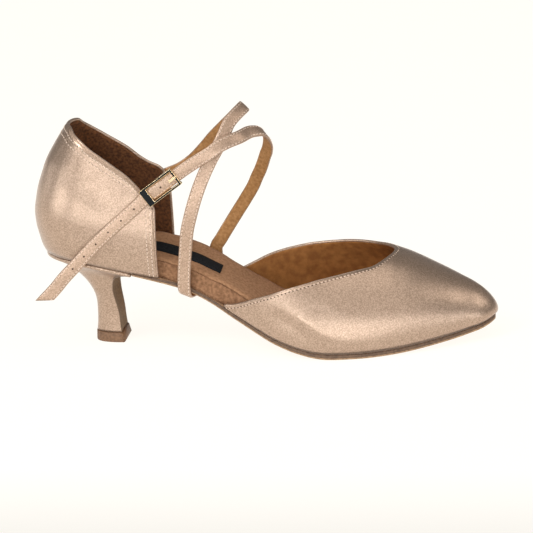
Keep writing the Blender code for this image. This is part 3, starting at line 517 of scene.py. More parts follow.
# Columns: share of the length, then the label's outer and inner edge as shares of the waist
LABEL_ROWS = (
    (0.215, -0.235, 0.040), (0.245, -0.255, 0.020), (0.290, -0.282, -0.008), (0.330, -0.307, -0.040),
    (0.365, -0.303, -0.037), (0.3975, -0.286, -0.018),
)
label_outer = through(LABEL_ROWS, 1)
label_inner = through(LABEL_ROWS, 2)


def label_loop(along):
    outer, inner = -sock_side(along, OUTER), sock_side(along, INNER)
    foot = []
    for i in range(5):
        y = WAIST * (label_outer(along) + (label_inner(along) - label_outer(along)) * i / 4)
        across = (2 * y - outer - inner) / (inner - outer)
        foot.append((x_at(along), y, insole_top(along, across) + SOCK + 1.4 * GAP))
    return foot + [(x, y, z + LABEL) for x, y, z in reversed(foot)]


WOVEN_BLACK = grain(
    plain_finish("Woven black", (0.012, 0.013, 0.014), 0.75), 900.0, 0.0002,
    (0.006, 0.007, 0.008), (0.018, 0.019, 0.021),
)
WOVEN_BLACK.node_tree.nodes["Principled BSDF"].inputs["Specular IOR Level"].default_value = 0.12
label_stations = spread(LABEL_ROWS[0][0], LABEL_ROWS[-1][0], 24)
label = loft("woven_label", [label_loop(along) for along in label_stations], [WOVEN_BLACK])
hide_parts("sock_label")
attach(label, "root")


# Vamp: satin over a stiffened backing, lined with soft brown leather, pulled over the last and
# glued under the insole. Its topline is folded over and stitched once round.
THROAT_HEIGHT = 0.0457
# Columns: share of the length, ridge height as a share of THROAT_HEIGHT, ridge place across the ball
RIDGE = (
    (0.380, 1.66, 0.020), (0.450, 1.58, 0.025), (0.540, 1.45, 0.035), (0.620, 1.27, 0.045),
    (0.700, 1.11, 0.055), (0.745, 1.03, 0.062), (0.784, 0.965, 0.064), (0.813, 0.900, 0.064),
    (0.835, 0.838, 0.065), (0.857, 0.770, 0.066), (0.879, 0.700, 0.067), (0.901, 0.630, 0.069),
    (0.923, 0.557, 0.071), (0.945, 0.480, 0.073), (0.960, 0.420, 0.0735), (1.000, 0.250, 0.0735),
)
# Columns: share of the length, how far up the last it runs on the outer and on the inner side
TOPLINE = (
    (0.412, 0.004, 0.035), (0.430, 0.023, 0.067), (0.452, 0.055, 0.109), (0.483, 0.113, 0.175),
    (0.520, 0.187, 0.251), (0.545, 0.241, 0.299), (0.590, 0.341, 0.396), (0.631, 0.435, 0.490),
    (0.673, 0.514, 0.578), (0.715, 0.600, 0.672), (0.755, 0.690, 0.775), (0.784, 0.770, 0.860),
    (0.860, 1.000, 1.000),
)
THROAT = 0.7845
THROAT_ROUND = 0.050
FAN_START = 0.800
FAN_TARGET = 0.958
RIB_POWER = 0.87
VAMP_BULGE = 0.0015
ridge_height = through(RIDGE, 1)
ridge_across = through(RIDGE, 2)
topline = {OUTER: through(TOPLINE, 1), INNER: through(TOPLINE, 2)}


def ridge_z(along):
    return bed(along) + THROAT_HEIGHT * ridge_height(along)


def topline_share(along, side):
    share = topline[side](along)
    if along >= THROAT:
        return 1.0
    left = THROAT - along
    if left < THROAT_ROUND:
        share = 1 - (1 - share) * math.sqrt(1 - (1 - left / THROAT_ROUND) ** 2)
    return share


# Soft folds, drawn in side view. Each is a line of corners, as shares of the length and of the height
# given with it, then its half width and how far it stands out, or in, as shares of the ball's width.
VAMP_FOLDS = (
    (
        ((0.529, 0.67), (0.584, 0.52), (0.623, 0.374), (0.655, 0.25), (0.700, 0.21), (0.780, 0.22)),
        0.055, 0.0066,
    ),
    (((0.515, 0.56), (0.557, 0.45), (0.592, 0.32), (0.625, 0.18), (0.680, 0.12)), 0.050, -0.0075),
    (((0.600, 0.66), (0.640, 0.60), (0.672, 0.50)), 0.035, -0.0022),
    (((0.640, 0.78), (0.680, 0.71), (0.712, 0.60)), 0.030, -0.0020),
    (((0.880, 0.56), (0.905, 0.44), (0.935, 0.36)), 0.030, -0.0016),
)


def folded_out(point, folds, tall):
    """How far the soft folds move a skin outward at a point."""
    here = Vector((along_at(point.x) * SHOE_LENGTH, point.z))
    out = 0.0
    for corners, reach, push in folds:
        line = [Vector((along * SHOE_LENGTH, high * tall)) for along, high in corners]
        nearest, way = 1.0, 0.0
        for i, (a, b) in enumerate(zip(line, line[1:])):
            part = min(1.0, max(0.0, (here - a).dot(b - a) / (b - a).length_squared))
            if (here - a.lerp(b, part)).length < nearest:
                nearest, way = (here - a.lerp(b, part)).length, (i + part) / (len(line) - 1)
        fade = math.exp(-((nearest / (reach * BALL)) ** 2))
        out += push * BALL * math.sqrt(math.sin(math.pi * way)) * fade
    return out


def vamp_point(foot, head, side, share):
    """A point of the last's forepart; foot and head are shares of the length, share runs up a rib."""
    start = Vector((x_at(foot), side * half_width(foot, side), bed(foot) + GAP))
    end = Vector((x_at(head), BALL * ridge_across(head), ridge_z(head)))
    angle = share * math.pi / 2
    inward = 1 - math.cos(angle) ** RIB_POWER if share < 1 else 1.0
    upward = math.sin(angle) ** RIB_POWER
    flat = Vector((end.x - start.x, end.y - start.y, 0.0))
    point = start + flat * inward
    roof = ridge_z(along_at(point.x)) if head > FAN_START else end.z
    point.z = start.z + (roof - start.z) * upward
    bulge = VAMP_BULGE * math.sin(math.pi * math.sqrt(upward))
    fold = folded_out(point, VAMP_FOLDS, THROAT_HEIGHT) * (1 - upward ** 4)
    return point - flat.normalized() * (bulge + fold)


VAMP_ROWS = 26
FAN_RIBS = 44


def vamp_ribs():
    ribs = [(a, a) for a in spread(WING_START, THROAT - THROAT_ROUND, 40)]
    ribs += [(a, a) for a in spread(THROAT - THROAT_ROUND, THROAT, 16, crowd_last=True)[1:]]
    foot_fan, head_fan = 1 - FAN_START, FAN_TARGET - FAN_START
    lag = foot_fan / head_fan
    for i in range(1, FAN_RIBS + 1):
        reach = 1 - (1 - i / FAN_RIBS) ** 2
        head = lag * reach + (1 - lag) * reach ** 2
        ribs.append((FAN_START + foot_fan * reach, FAN_START + head_fan * head))
    return ribs


def vamp_grid():
    ribs = vamp_ribs()
    points = []
    for foot, head in ribs:
        for side in (OUTER, INNER):
            reach = topline_share(foot, side)
            base = topline[side](foot)
            for k in range(VAMP_ROWS + 1):
                part = k / VAMP_ROWS
                share = part * (base + (reach - base) * part ** 3)
                points.append(vamp_point(foot, head, side, share))
    row = VAMP_ROWS + 1
    faces = []
    for i in range(len(ribs) - 1):
        for s in range(2):
            for k in range(VAMP_ROWS):
                a = (2 * i + s) * row + k
                b = (2 * (i + 1) + s) * row + k
                faces.append((a, b, b + 1, a + 1) if s == 0 else (a, a + 1, b + 1, b))
    return points, faces


def satin(name, tone, dark, light, roughness):
    """Champagne satin with a metallic glaze; fine specks and the weave break its highlights up."""
    finish = plain_finish(name, tone, roughness, 0.74)
    shader = finish.node_tree.nodes["Principled BSDF"]
    shader.inputs["Sheen Weight"].default_value = 0.12
    shader.inputs["Sheen Roughness"].default_value = 0.35
    return grain(finish, 1500.0, 0.00005, dark, light, 0.36, 0.64, 1.5, 0.6, (3200.0, 1.0))


SATIN = satin(
    "Champagne satin", (0.58, 0.40, 0.29), (0.355, 0.245, 0.174), (0.56, 0.402, 0.300), 0.276,
)
VAMP_LINING = grain(
    plain_finish("Vamp lining leather", (0.30, 0.13, 0.035), 0.70), 260.0, 0.0001,
    (0.31, 0.120, 0.028), (0.47, 0.20, 0.052),
)


def lined(piece, wall):
    """Give an outer sheet its wall, inward, with the lining's finish inside."""
    thick = piece.modifiers.new("Wall", "SOLIDIFY")
    thick.thickness = wall
    thick.offset = -1.0
    thick.use_even_offset = True
    thick.use_quality_normals = True
    thick.material_offset = 1
    thick.material_offset_rim = 0


def skin_of(piece):
    """The surface that rolls and stitches are laid on."""
    mesh = piece.data
    return BVHTree.FromPolygons([v.co for v in mesh.vertices], [p.vertices for p in mesh.polygons])


vamp_points, vamp_faces = vamp_grid()
vamp = new_piece("vamp_satin", vamp_points, vamp_faces, [SATIN, VAMP_LINING])
vamp_skin = skin_of(vamp)
lined(vamp, VAMP_WALL)
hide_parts("vamp")
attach(vamp, "root")


def even_steps(path, step):
    """Points along a path at one distance from each other."""
    ways = [0.0]
    for a, b in zip(path, path[1:]):
        ways.append(ways[-1] + (b - a).length)
    count = max(2, round(ways[-1] / step))
    points = []
    i = 0
    for k in range(count + 1):
        at = ways[-1] * k / count
        while i < len(path) - 2 and ways[i + 1] < at:
            i += 1
        span = max(ways[i + 1] - ways[i], 1e-9)
        points.append(path[i].lerp(path[i + 1], (at - ways[i]) / span))
    return points


def run_at(path, i):
    return (path[min(i + 1, len(path) - 1)] - path[max(i - 1, 0)]).normalized()


def circle(middle, one_way, other_way, radius, count):
    turns = [2 * math.pi * k / count for k in range(count)]
    return [middle + (one_way * math.cos(t) + other_way * math.sin(t)) * radius for t in turns]


ROLL_STEP = 0.0015
ROLL_SIDES = 10


def rolled_edge(name, path, skin, radius, finish):
    """The folded rim of a sheet: a soft roll along its edge, half inside the wall."""
    points = even_steps(path, ROLL_STEP)
    loops = []
    for i, point in enumerate(points):
        run = run_at(points, i)
        normal = skin.find_nearest(point)[1]
        normal = (normal - run * normal.dot(run)).normalized()
        loops.append(circle(point - normal * radius, normal, run.cross(normal), radius, ROLL_SIDES))
    return loft(name, loops, [finish])


THREAD = plain_finish("Champagne thread", (0.76, 0.60, 0.48), 0.5)
# Needle holes are not cut: each is a flat dark patch of painted shade on the skin.
HOLE_SHADE = plain_finish("Painted hole shade", (0.07, 0.035, 0.018), 0.9)
STITCH = 0.0021
THREAD_RADIUS = 0.00019
# Along a stitch: its share of the way, its height and its girth on the thread's radius
THREAD_ARC = (
    (0.0, -0.8, 0.6), (0.18, 0.25, 1.0), (0.5, 0.55, 1.0), (0.82, 0.25, 1.0), (1.0, -0.8, 0.6),
)
THREAD_SIDES = 6
HOLE_SIDES = 7
HOLE_LIFT = 0.00006
RIM_LIFT = 0.00004


def add_hole(points, faces, centre, rim):
    """The dark faces of a hole, its painted shade, from its centre to the points of its rim."""
    start, count = len(points), len(rim)
    points += [centre, *rim]
    faces += [(start, start + 1 + k, start + 1 + (k + 1) % count) for k in range(count)]


def stitch_row(name, path, skin, hole, bare=0.10):
    """A row of lockstitches on a skin: short raised threads with a needle hole between each, each hole
    a dark patch of painted shade. A hole has its half length, its half width and its slant to the seam;
    bare is the share of a stitch that its thread leaves free at either end."""
    long, wide, slant = hole
    points, faces, slots = [], [], []
    holes = [skin.find_nearest(p) for p in even_steps(path, STITCH)]
    for (a, a_face, _, _), (b, b_face, _, _) in zip(holes, holes[1:]):
        run = (b - a).normalized()
        out = (a_face + b_face).normalized()
        beside = run.cross(out).normalized()
        start = len(points)
        for share, lift, fat in THREAD_ARC:
            middle = a.lerp(b, bare + (1 - 2 * bare) * share) + out * THREAD_RADIUS * lift
            points += circle(middle, out, beside, THREAD_RADIUS * fat, THREAD_SIDES)
        for first in range(start, len(points) - THREAD_SIDES, THREAD_SIDES):
            for k in range(THREAD_SIDES):
                p, q = first + k, first + (k + 1) % THREAD_SIDES
                faces.append((p, q, q + THREAD_SIDES, p + THREAD_SIDES))
                slots.append(0)
        one_way = (run * math.cos(slant) + beside * math.sin(slant)) * long
        other_way = (beside * math.cos(slant) - run * math.sin(slant)) * wide
        rim = circle(a + out * RIM_LIFT, one_way, other_way, 1.0, HOLE_SIDES)
        add_hole(points, faces, a + out * HOLE_LIFT, rim)
        slots += [1] * HOLE_SIDES
    return new_piece(name, points, faces, [THREAD, HOLE_SHADE], slots)


def inset_path(path, skin, distance, away_from):
    """The edge's path moved into its sheet, away from a point outside it."""
    moved = []
    for i, point in enumerate(path):
        into = run_at(path, i).cross(skin.find_nearest(point)[1]).normalized()
        if into.dot(point - away_from) < 0:
            into = -into
        moved.append(skin.find_nearest(point + into * distance)[0])
    return moved


def topline_point(along, side):
    return vamp_point(along, along, side, topline_share(along, side))


topline_steps = spread(WING_START, THROAT - THROAT_ROUND, 60)
topline_steps += spread(THROAT - THROAT_ROUND, THROAT - 1e-5, 30, crowd_last=True)[1:]
topline_path = [topline_point(along, OUTER) for along in topline_steps]
topline_path += [topline_point(along, INNER) for along in reversed(topline_steps)]
vamp_roll = rolled_edge("vamp_folded_edge", topline_path, vamp_skin, VAMP_WALL / 2, SATIN)
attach(vamp_roll, "root")
MOUTH = Vector((0.105, 0.0, 0.060))
VAMP_ROW_INSET = 0.0013
vamp_seam = inset_path(topline_path, vamp_skin, VAMP_ROW_INSET, MOUTH)
vamp_row = stitch_row("vamp_stitches", vamp_seam, vamp_skin, (0.00056, 0.00030, 0.8), 0.28)
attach(vamp_row, "root")


# Counter: the stiffened heel cup in the same satin, lined with dark suede against slipping. Its
# edges are folded and stitched twice.
BACK_HEIGHT = 0.0690
# Columns: share of BACK_HEIGHT, how far it leans back as a share of the length, width on the seat's
CUP_PROFILE = (
    (0.00, 0.0020, 1.000), (0.05, 0.0090, 1.030), (0.12, 0.0140, 1.055), (0.20, 0.0192, 1.065),
    (0.30, 0.0212, 1.060), (0.41, 0.0165, 1.030), (0.50, 0.0105, 0.990), (0.61, -0.0005, 0.935),
    (0.70, -0.0105, 0.885), (0.83, -0.0320, 0.825), (0.95, -0.0550, 0.790), (1.00, -0.0655, 0.780),
)
# Columns: way from the back to the cup's front edge, height of the collar outside and inside
COLLAR = (
    (0.000, 0.994, 0.994), (0.060, 0.988, 0.986), (0.140, 0.955, 0.944), (0.260, 0.915, 0.893),
    (0.390, 0.869, 0.850), (0.520, 0.831, 0.817), (0.640, 0.792, 0.781), (0.760, 0.747, 0.729),
    (0.850, 0.692, 0.706), (0.905, 0.645, 0.700), (0.965, 0.583, 0.666), (1.000, 0.552, 0.584),
)
cup_lean = through(CUP_PROFILE, 1)
cup_width = through(CUP_PROFILE, 2)
collar = {OUTER: through(COLLAR, 1), INNER: through(COLLAR, 2)}

# As VAMP_FOLDS, with heights as shares of the way from the floor to the collar
CUP_FOLDS = (
    (((0.062, 0.80), (0.066, 0.755), (0.078, 0.72), (0.106, 0.690), (0.155, 0.63)), 0.070, 0.0036),
    (((0.110, 0.80), (0.140, 0.73), (0.175, 0.66)), 0.085, -0.0045),
    (((0.030, 0.60), (0.075, 0.56), (0.120, 0.55)), 0.055, -0.0035),
)
FOLD_FADE = 2.5


def cup_point(way, side, height):
    """A point of the cup: way from back, 0, to front edge, 1; height as a share of BACK_HEIGHT."""
    front = x_at(CUP_FRONT[side])
    along = way * CUP_FRONT[side]
    x = front - (front - x_at(along)) * (1 + cup_lean(height) / CUP_FRONT[side])
    z = bed(along) + GAP + height * BACK_HEIGHT
    fold = folded_out(Vector((x, 0.0, z)), CUP_FOLDS, HEEL_RISE + BACK_HEIGHT)
    fold *= min(1.0, FOLD_FADE * way)
    return Vector((x, side * (half_width(along, side) * cup_width(height) + fold), z))


CUP_ROWS = 26
cup_half = spread(1.0, 0.80, 9) + spread(0.80, 0.40, 12)[1:]
cup_half += spread(0.0, 0.40, 20, crowd_first=True)[-2::-1]
cup_ways = [(way, OUTER) for way in cup_half] + [(way, INNER) for way in cup_half[-2::-1]]
cup_points = [
    cup_point(way, side, collar[side](way) * k / CUP_ROWS)
    for way, side in cup_ways for k in range(CUP_ROWS + 1)
]
cup_faces = []
for i in range(len(cup_ways) - 1):
    for k in range(CUP_ROWS):
        a, b = i * (CUP_ROWS + 1) + k, (i + 1) * (CUP_ROWS + 1) + k
        cup_faces.append((a, a + 1, b + 1, b))
CUP_LINING = grain(
    plain_finish("Dark cup suede", (0.085, 0.036, 0.012), 0.95), 800.0, 0.0003,
    (0.064, 0.020, 0.004), (0.19, 0.068, 0.019),
)
cup = new_piece("counter_satin", cup_points, cup_faces, [SATIN, CUP_LINING])
cup_skin = skin_of(cup)
lined(cup, CUP_WALL)
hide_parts("counter")
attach(cup, "root")

cup_edge = [cup_point(1.0, OUTER, collar[OUTER](1.0) * k / 30) for k in range(30)]
cup_edge += [cup_point(way, side, collar[side](way)) for way, side in cup_ways]
cup_edge += [cup_point(1.0, INNER, collar[INNER](1.0) * k / 30) for k in range(29, -1, -1)]
cup_roll = rolled_edge("counter_folded_edge", cup_edge, cup_skin, CUP_WALL / 2, SATIN)
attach(cup_roll, "root")


ROW_DROP = 1.25
FRONT_STEPS = 24


def cup_row(name, distance):
    """A stitch row that keeps its distance from the cup's front edges and collar."""
    path = []
    for side, ways in ((OUTER, cup_half), (INNER, cup_half[-2::-1])):
        limit = 1 - distance / (CUP_FRONT[side] * SHOE_LENGTH)
        below = ROW_DROP * distance / BACK_HEIGHT
        stretch = [cup_point(way, side, collar[side](way) - below) for way in ways if way <= limit]
        top = collar[side](limit) - below
        front = [cup_point(limit, side, top * i / FRONT_STEPS) for i in range(FRONT_STEPS + 1)]
        path += front + stretch if side == OUTER else stretch + front[::-1]
    row = stitch_row(name, path, cup_skin, (0.00022, 0.00020, 0.0))
    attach(row, "root")


cup_row("counter_stitches_first", 0.0017)
cup_row("counter_stitches_second", 0.0038)


# Heel: a moulded block covered in the same satin, narrow at its neck and trumpet-shaped under the
# seat, screwed and glued on. A top piece of tan rubber is nailed under it.
TIP_HEIGHT = 0.0052
TIP_LENGTH = 0.0168
TIP_WIDTH = 0.0192
# Columns: way from tip to flare, back and front on TIP_LENGTH, half width on TIP_WIDTH, hollow breast
NECK = (
    (0.00, -0.475, 0.400, 0.460, 0.02), (0.20, -0.440, 0.375, 0.448, 0.03),
    (0.42, -0.427, 0.355, 0.446, 0.05), (0.62, -0.424, 0.315, 0.465, 0.07),
    (0.82, -0.452, 0.262, 0.515, 0.09), (1.00, -0.529, 0.225, 0.590, 0.10),
)
FLARE_START = 0.0285
FLARE_LEAD = 0.45
FLARE_POWER = 2.2
BREAST_POWER = 4.5
LIP = 0.0021
LIP_FRONT = 0.2055
HEEL_SIDE = 26
HEEL_FRONT = 12
SEAT_START = 0.0025
# Up the lip: the share of LIP that is left below the seat, and the inset from the feather edge
LIP_EDGE = ((1.0, 0.0006), (0.6, 0.0003), (0.3, 0.0004), (0.0, 0.0010))
neck_column = [through(NECK, i) for i in range(1, 5)]
neck_scale = (TIP_LENGTH, TIP_LENGTH, TIP_WIDTH, TIP_LENGTH)


def seat_loop(drop, inset):
    loop = []
    for i in range(2 * HEEL_SIDE + 1):
        turn = math.pi / 2 * (i / HEEL_SIDE - 1)
        side = OUTER if i <= HEEL_SIDE else INNER
        along = LIP_FRONT * (1 - math.cos(turn)) + SEAT_START * math.cos(turn)
        y = side * max(half_width(along, side) - inset, 0.0)
        if i == HEEL_SIDE:
            y = 0.0
        loop.append(Vector((x_at(along), y, bed(along) - LIP * drop)))
    outer, inner = loop[0], loop[-1]
    return loop + [inner.lerp(outer, i / HEEL_FRONT) for i in range(1, HEEL_FRONT)]


def round_back(count, back_power, side_power):
    """Shares back and across round a heel's section, from its outer to its inner front corner."""
    turns = [math.pi / 2 * (i / count - 1) for i in range(2 * count + 1)]
    return [
        (abs(math.cos(turn)) ** back_power, math.copysign(abs(math.sin(turn)) ** side_power, turn))
        for turn in turns
    ]


def neck_loop(share):
    rear, front, half, hollow = [
        column(share) * scale for column, scale in zip(neck_column, neck_scale)
    ]
    z = TIP_HEIGHT + GAP + share * (FLARE_START - TIP_HEIGHT - GAP)
    loop = [
        Vector((front - (front - rear) * reach, half * across, z))
        for reach, across in round_back(HEEL_SIDE, 0.85, 0.85)
    ]
    outer, inner = loop[0], loop[-1]
    for i in range(1, HEEL_FRONT):
        point = inner.lerp(outer, i / HEEL_FRONT)
        point.x -= hollow * math.sin(math.pi * i / HEEL_FRONT)
        loop.append(point)
    return loop


def flare_out(t, i):
    """How far point i of a loop has moved from the neck to the rim: early behind, late at the breast."""
    behind = math.cos(math.pi / 2 * (i / HEEL_SIDE - 1)) if i <= 2 * HEEL_SIDE else 0.0
    early = FLARE_LEAD * t + (1 - FLARE_LEAD) * t ** FLARE_POWER
    return behind * early + (1 - behind) * t ** BREAST_POWER


NECK_STEPS = 16
FLARE_STEPS = 20
heel_loops = [neck_loop(i / NECK_STEPS) for i in range(NECK_STEPS + 1)]
flare_from, flare_to = heel_loops[-1], seat_loop(*LIP_EDGE[0])
for i in range(1, FLARE_STEPS):
    flare = []
    for k, (a, b) in enumerate(zip(flare_from, flare_to)):
        point = a.lerp(b, flare_out(i / FLARE_STEPS, k))
        point.z = a.z + (b.z - a.z) * i / FLARE_STEPS
        flare.append(point)
    heel_loops.append(flare)
heel_loops += [seat_loop(drop, inset) for drop, inset in LIP_EDGE]
BREAST = grain(
    plain_finish("Breast cover", (0.20, 0.12, 0.06), 0.75), 900.0, 0.0001,
    (0.145, 0.082, 0.036), (0.23, 0.135, 0.062),
)
heel_sides = [0] * (2 * HEEL_SIDE) + [1] * HEEL_FRONT
heel = loft("heel_cover", heel_loops, [SATIN, BREAST], heel_sides)
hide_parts("heel")
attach(heel, "root")

TIP_RUBBER = grain(
    plain_finish("Tan tip rubber", (0.30, 0.16, 0.09), 0.55), 800.0, 0.0001,
    (0.145, 0.070, 0.032), (0.23, 0.118, 0.057),
)


TIP_SIDE = 28
# How far the top piece's front, back and sides draw in on its flare
TIP_DRAW = (1.6, 0.3, 0.4)
TIP_CHAMFER = 0.0004


def tip_loop(z, flare):
    front = TIP_LENGTH / 2 - TIP_DRAW[0] * flare
    rear = -TIP_LENGTH / 2 + TIP_DRAW[1] * flare
    half = TIP_WIDTH / 2 - TIP_DRAW[2] * flare
    return [
        (front - (front - rear) * reach, half * across, z)
        for reach, across in round_back(TIP_SIDE, 0.75, 0.8)
    ]


tip_rings = (
    (0.0, TIP_CHAMFER), (TIP_CHAMFER, 0.0), (TIP_HEIGHT - TIP_CHAMFER, 0.0007), (TIP_HEIGHT, 0.0011),
)
tip = loft("heel_top_piece", [tip_loop(z, flare) for z, flare in tip_rings], [TIP_RUBBER])
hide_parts("heel_tip")
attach(tip, "root")


# Strap: one long folded strap of satin, lined with tan leather and stitched along both edges. It
# comes from the cup, crosses the instep, passes under the waist and goes back over itself.
INSTEP_WIDTH = 1.081 * SEAT
INSTEP_TOP = 0.1260
STRAP_WIDTH = 0.0070
STRAP_THICK = 0.0015
STRAP_UNDER = SOLE + GAP + STRAP_THICK / 2
STRAP_STEP = 0.0018
RUN_STEP = 0.001
# Columns: share of the length, share of INSTEP_WIDTH, height from the bed as a share of the way to
# INSTEP_TOP or, below the bed, of STRAP_UNDER, then the way its outer face turns round the foot and
# how far forward its crest leans
STRAP_OUTER = (
    (0.2654, 0.384, 0.5192, 90, 45), (0.2918, 0.429, 0.5507, 90, 45),
    (0.3191, 0.455, 0.6064, 86, 45), (0.3480, 0.446, 0.6922, 75, 45),
    (0.3744, 0.402, 0.7794, 62, 45), (0.4013, 0.321, 0.8549, 48, 45),
    (0.4315, 0.196, 0.9336, 26, 45), (0.4604, 0.062, 1.0037, 4, 45),
    (0.4495, -0.071, 0.9882, -16, 45), (0.4335, -0.196, 0.9503, -36, 45),
    (0.4252, -0.259, 0.9053, -50, 45), (0.4134, -0.318, 0.8487, -60, 45),
    (0.3975, -0.393, 0.7786, -70, 45), (0.3778, -0.454, 0.6718, -79, 45),
    (0.3635, -0.486, 0.5731, -84, 45), (0.3505, -0.500, 0.4607, -88, 45),
    (0.3400, -0.495, 0.3509, -91, 50), (0.3338, -0.479, 0.2349, -94, 55),
    (0.3279, -0.461, 0.1043, -96, 60), (0.3249, -0.446, -0.1009, -102, 63),
    (0.3254, -0.411, -1.1773, -140, 63), (0.3279, -0.339, -1.4202, -176, 63),
    (0.3350, -0.214, -1.4032, -180, 63), (0.3468, -0.003, -1.4173, -180, 63),
)
STRAP_INNER = (
    (0.3472, 0.003, -1.4182, 180, 63), (0.3593, 0.214, -1.3924, 180, 63),
    (0.3652, 0.321, -1.2868, 172, 63), (0.3681, 0.379, -0.4032, 118, 63),
    (0.3677, 0.373, 0.0546, 97, 60), (0.3677, 0.371, 0.1323, 93, 55),
    (0.3803, 0.393, 0.2015, 90, 50), (0.3992, 0.446, 0.2933, 88, 45),
    (0.4180, 0.473, 0.3795, 84, 45), (0.4377, 0.482, 0.4632, 79, 45),
    (0.4570, 0.464, 0.5454, 72, 45), (0.4667, 0.438, 0.5956, 66, 45),
    (0.4771, 0.393, 0.6439, 58, 45), (0.4868, 0.339, 0.6954, 48, 45),
    (0.4935, 0.286, 0.7340, 40, 45), (0.5019, 0.223, 0.7770, 30, 45),
    (0.5061, 0.152, 0.8228, 19, 45), (0.5027, 0.071, 0.8680, 6, 45),
    (0.4918, 0.000, 0.8922, -8, 45), (0.4755, -0.082, 0.8965, -24, 45),
    (0.4578, -0.236, 0.8896, -46, 45), (0.4386, -0.321, 0.8793, -58, 45),
    (0.4186, -0.389, 0.8605, -68, 45), (0.3973, -0.429, 0.8218, -76, 45),
    (0.3750, -0.443, 0.7851, -81, 45), (0.3524, -0.448, 0.7428, -85, 45),
    (0.3318, -0.452, 0.7001, -88, 45), (0.2844, -0.461, 0.5916, -90, 45),
    (0.2495, -0.470, 0.5134, -90, 45), (0.2260, -0.482, 0.4453, -90, 45),
    (0.2033, -0.500, 0.3814, -90, 45), (0.1794, -0.518, 0.3149, -90, 45),
    (0.1574, -0.529, 0.2456, -90, 45), (0.1339, -0.536, 0.1677, -90, 45),
    (0.1103, -0.545, 0.0811, -90, 45), (0.0864, -0.550, -0.1631, -90, 45),
    (0.0624, -0.554, -1.8493, -90, 45), (0.0404, -0.554, -3.5234, -90, 45),
    (0.0148, -0.554, -5.2190, -90, 45),
)


def strap_place(row):
    foot = bed(row[0])
    reach = INSTEP_TOP - foot if row[2] > 0 else STRAP_UNDER
    return Vector((x_at(row[0]), INSTEP_WIDTH * row[1], foot + row[2] * reach))


def strap_line(rows):
    """What gives a strap's middle, run, outer face and width at a distance, and the strap's length."""
    places = [strap_place(row) for row in rows]
    ways = [0.0]
    for before, after in zip(places, places[1:]):
        ways.append(ways[-1] + (after - before).length)
    curves = [through([(w,) for w in ways], 0, [p[i] for p in places]) for i in range(3)]
    turn = through([(w,) for w in ways], 0, [math.radians(r[3]) for r in rows])
    lean = through([(w,) for w in ways], 0, [math.radians(r[4]) for r in rows])

    def frame_at(at):
        middle = Vector([curve(at) for curve in curves])
        run = Vector([curve(at + RUN_STEP) - curve(at - RUN_STEP) for curve in curves]).normalized()
        crest = Vector((math.cos(lean(at)), 0.0, math.sin(lean(at))))
        face = crest * math.cos(turn(at)) + Vector((0.0, math.sin(turn(at)), 0.0))
        face = (face - run * face.dot(run)).normalized()
        return middle, run, face, run.cross(face)

    return frame_at, ways[-1]


STRAP_LINING = grain(
    plain_finish("Tan strap lining", (0.40, 0.19, 0.06), 0.8), 700.0, 0.0001,
    (0.32, 0.145, 0.042), (0.47, 0.235, 0.085),
)
STRAP_SATIN = satin(
    "Strap satin", (0.60, 0.41, 0.30), (0.40, 0.272, 0.192), (0.60, 0.423, 0.312), 0.36,
)
# Across and out from a strap's middle, as shares of its half width and half thickness
STRAP_SECTION = (
    (-0.90, -1.0), (0.0, -1.0), (0.90, -1.0), (0.99, -0.6), (1.0, 0.0), (0.97, 0.45), (0.88, 0.72),
    (0.72, 0.86), (0.40, 1.0), (0.0, 1.04), (-0.40, 1.0), (-0.72, 0.86), (-0.88, 0.72), (-0.97, 0.45),
    (-1.0, 0.0), (-0.99, -0.6),
)
STRAP_SLOTS = [1, 1] + [0] * 14
SEAM_PLACE = 0.36
CUT_STEPS = 4


def strap(name, node, rows, start_cut, end_cut):
    """A strap with its two seams; a cut is the slant of its end on its half width."""
    frame_at, length = strap_line(rows)
    count = round(length / STRAP_STEP)
    loops = []
    rows_out = {-1: [], 1: []}
    for i in range(count + 1):
        middle, run, face, across = frame_at(length * i / count)
        left = min(i, count - i)
        fade = max(0.0, 1 - left / CUT_STEPS)
        cut = (start_cut if i < count / 2 else end_cut) * fade
        loops.append([
            middle + across * (y * STRAP_WIDTH / 2) + face * (z * STRAP_THICK / 2)
            + run * (cut * y * STRAP_WIDTH / 2)
            for y, z in STRAP_SECTION
        ])
        if left > 0:
            for side in (-1, 1):
                beside = across * side * STRAP_WIDTH * SEAM_PLACE
                rows_out[side].append(middle + beside + face * STRAP_THICK / 2)
    piece = loft(name, loops, [STRAP_SATIN, STRAP_LINING], STRAP_SLOTS)
    skin = skin_of(piece)
    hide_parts(node)
    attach(piece, "root")
    for side, tag in ((-1, "low"), (1, "high")):
        seam = stitch_row(name + "_stitches_" + tag, rows_out[side], skin, (0.00022, 0.00018, 0.0))
        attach(seam, "root")


strap("strap_first", "strap_outer", STRAP_OUTER, -0.25, 0.0)
strap("strap_second", "strap_inner", STRAP_INNER, 0.0, 1.05)


# Buckle: a flat gold frame with a black enamelled face, a short prong with a round tip, and a tab of
# satin that holds its hidden bar to the cup.
BUCKLE_LENGTH = 0.0212
BUCKLE_BAR = 0.0038
BUCKLE_RAIL = 0.0012
BUCKLE_THICK = 0.0016
BUCKLE_ALONG = 0.2864
BUCKLE_CLEAR = STRAP_WIDTH / 2 + GAP
BUCKLE_HALF = BUCKLE_CLEAR + BUCKLE_RAIL
RAIL_DROP = 0.0004
FRONT_BAR = 0.0013
CROSS_BAR = 0.0012
FACE_SUNK = 0.0001
ENAMEL_PROUD = 0.00005
ENAMEL_DEEP = 0.0004
PRONG_REACH = 0.0034
PRONG_HALF = 0.0008
PRONG_THICK = 0.0008
PRONG_SETBACK = 0.0002
GOLD = grain(
    plain_finish("Polished gold", (0.92, 0.72, 0.42), 0.26, 1.0), 300.0, 0.00001,
    (0.88, 0.67, 0.37), (0.96, 0.78, 0.50),
)
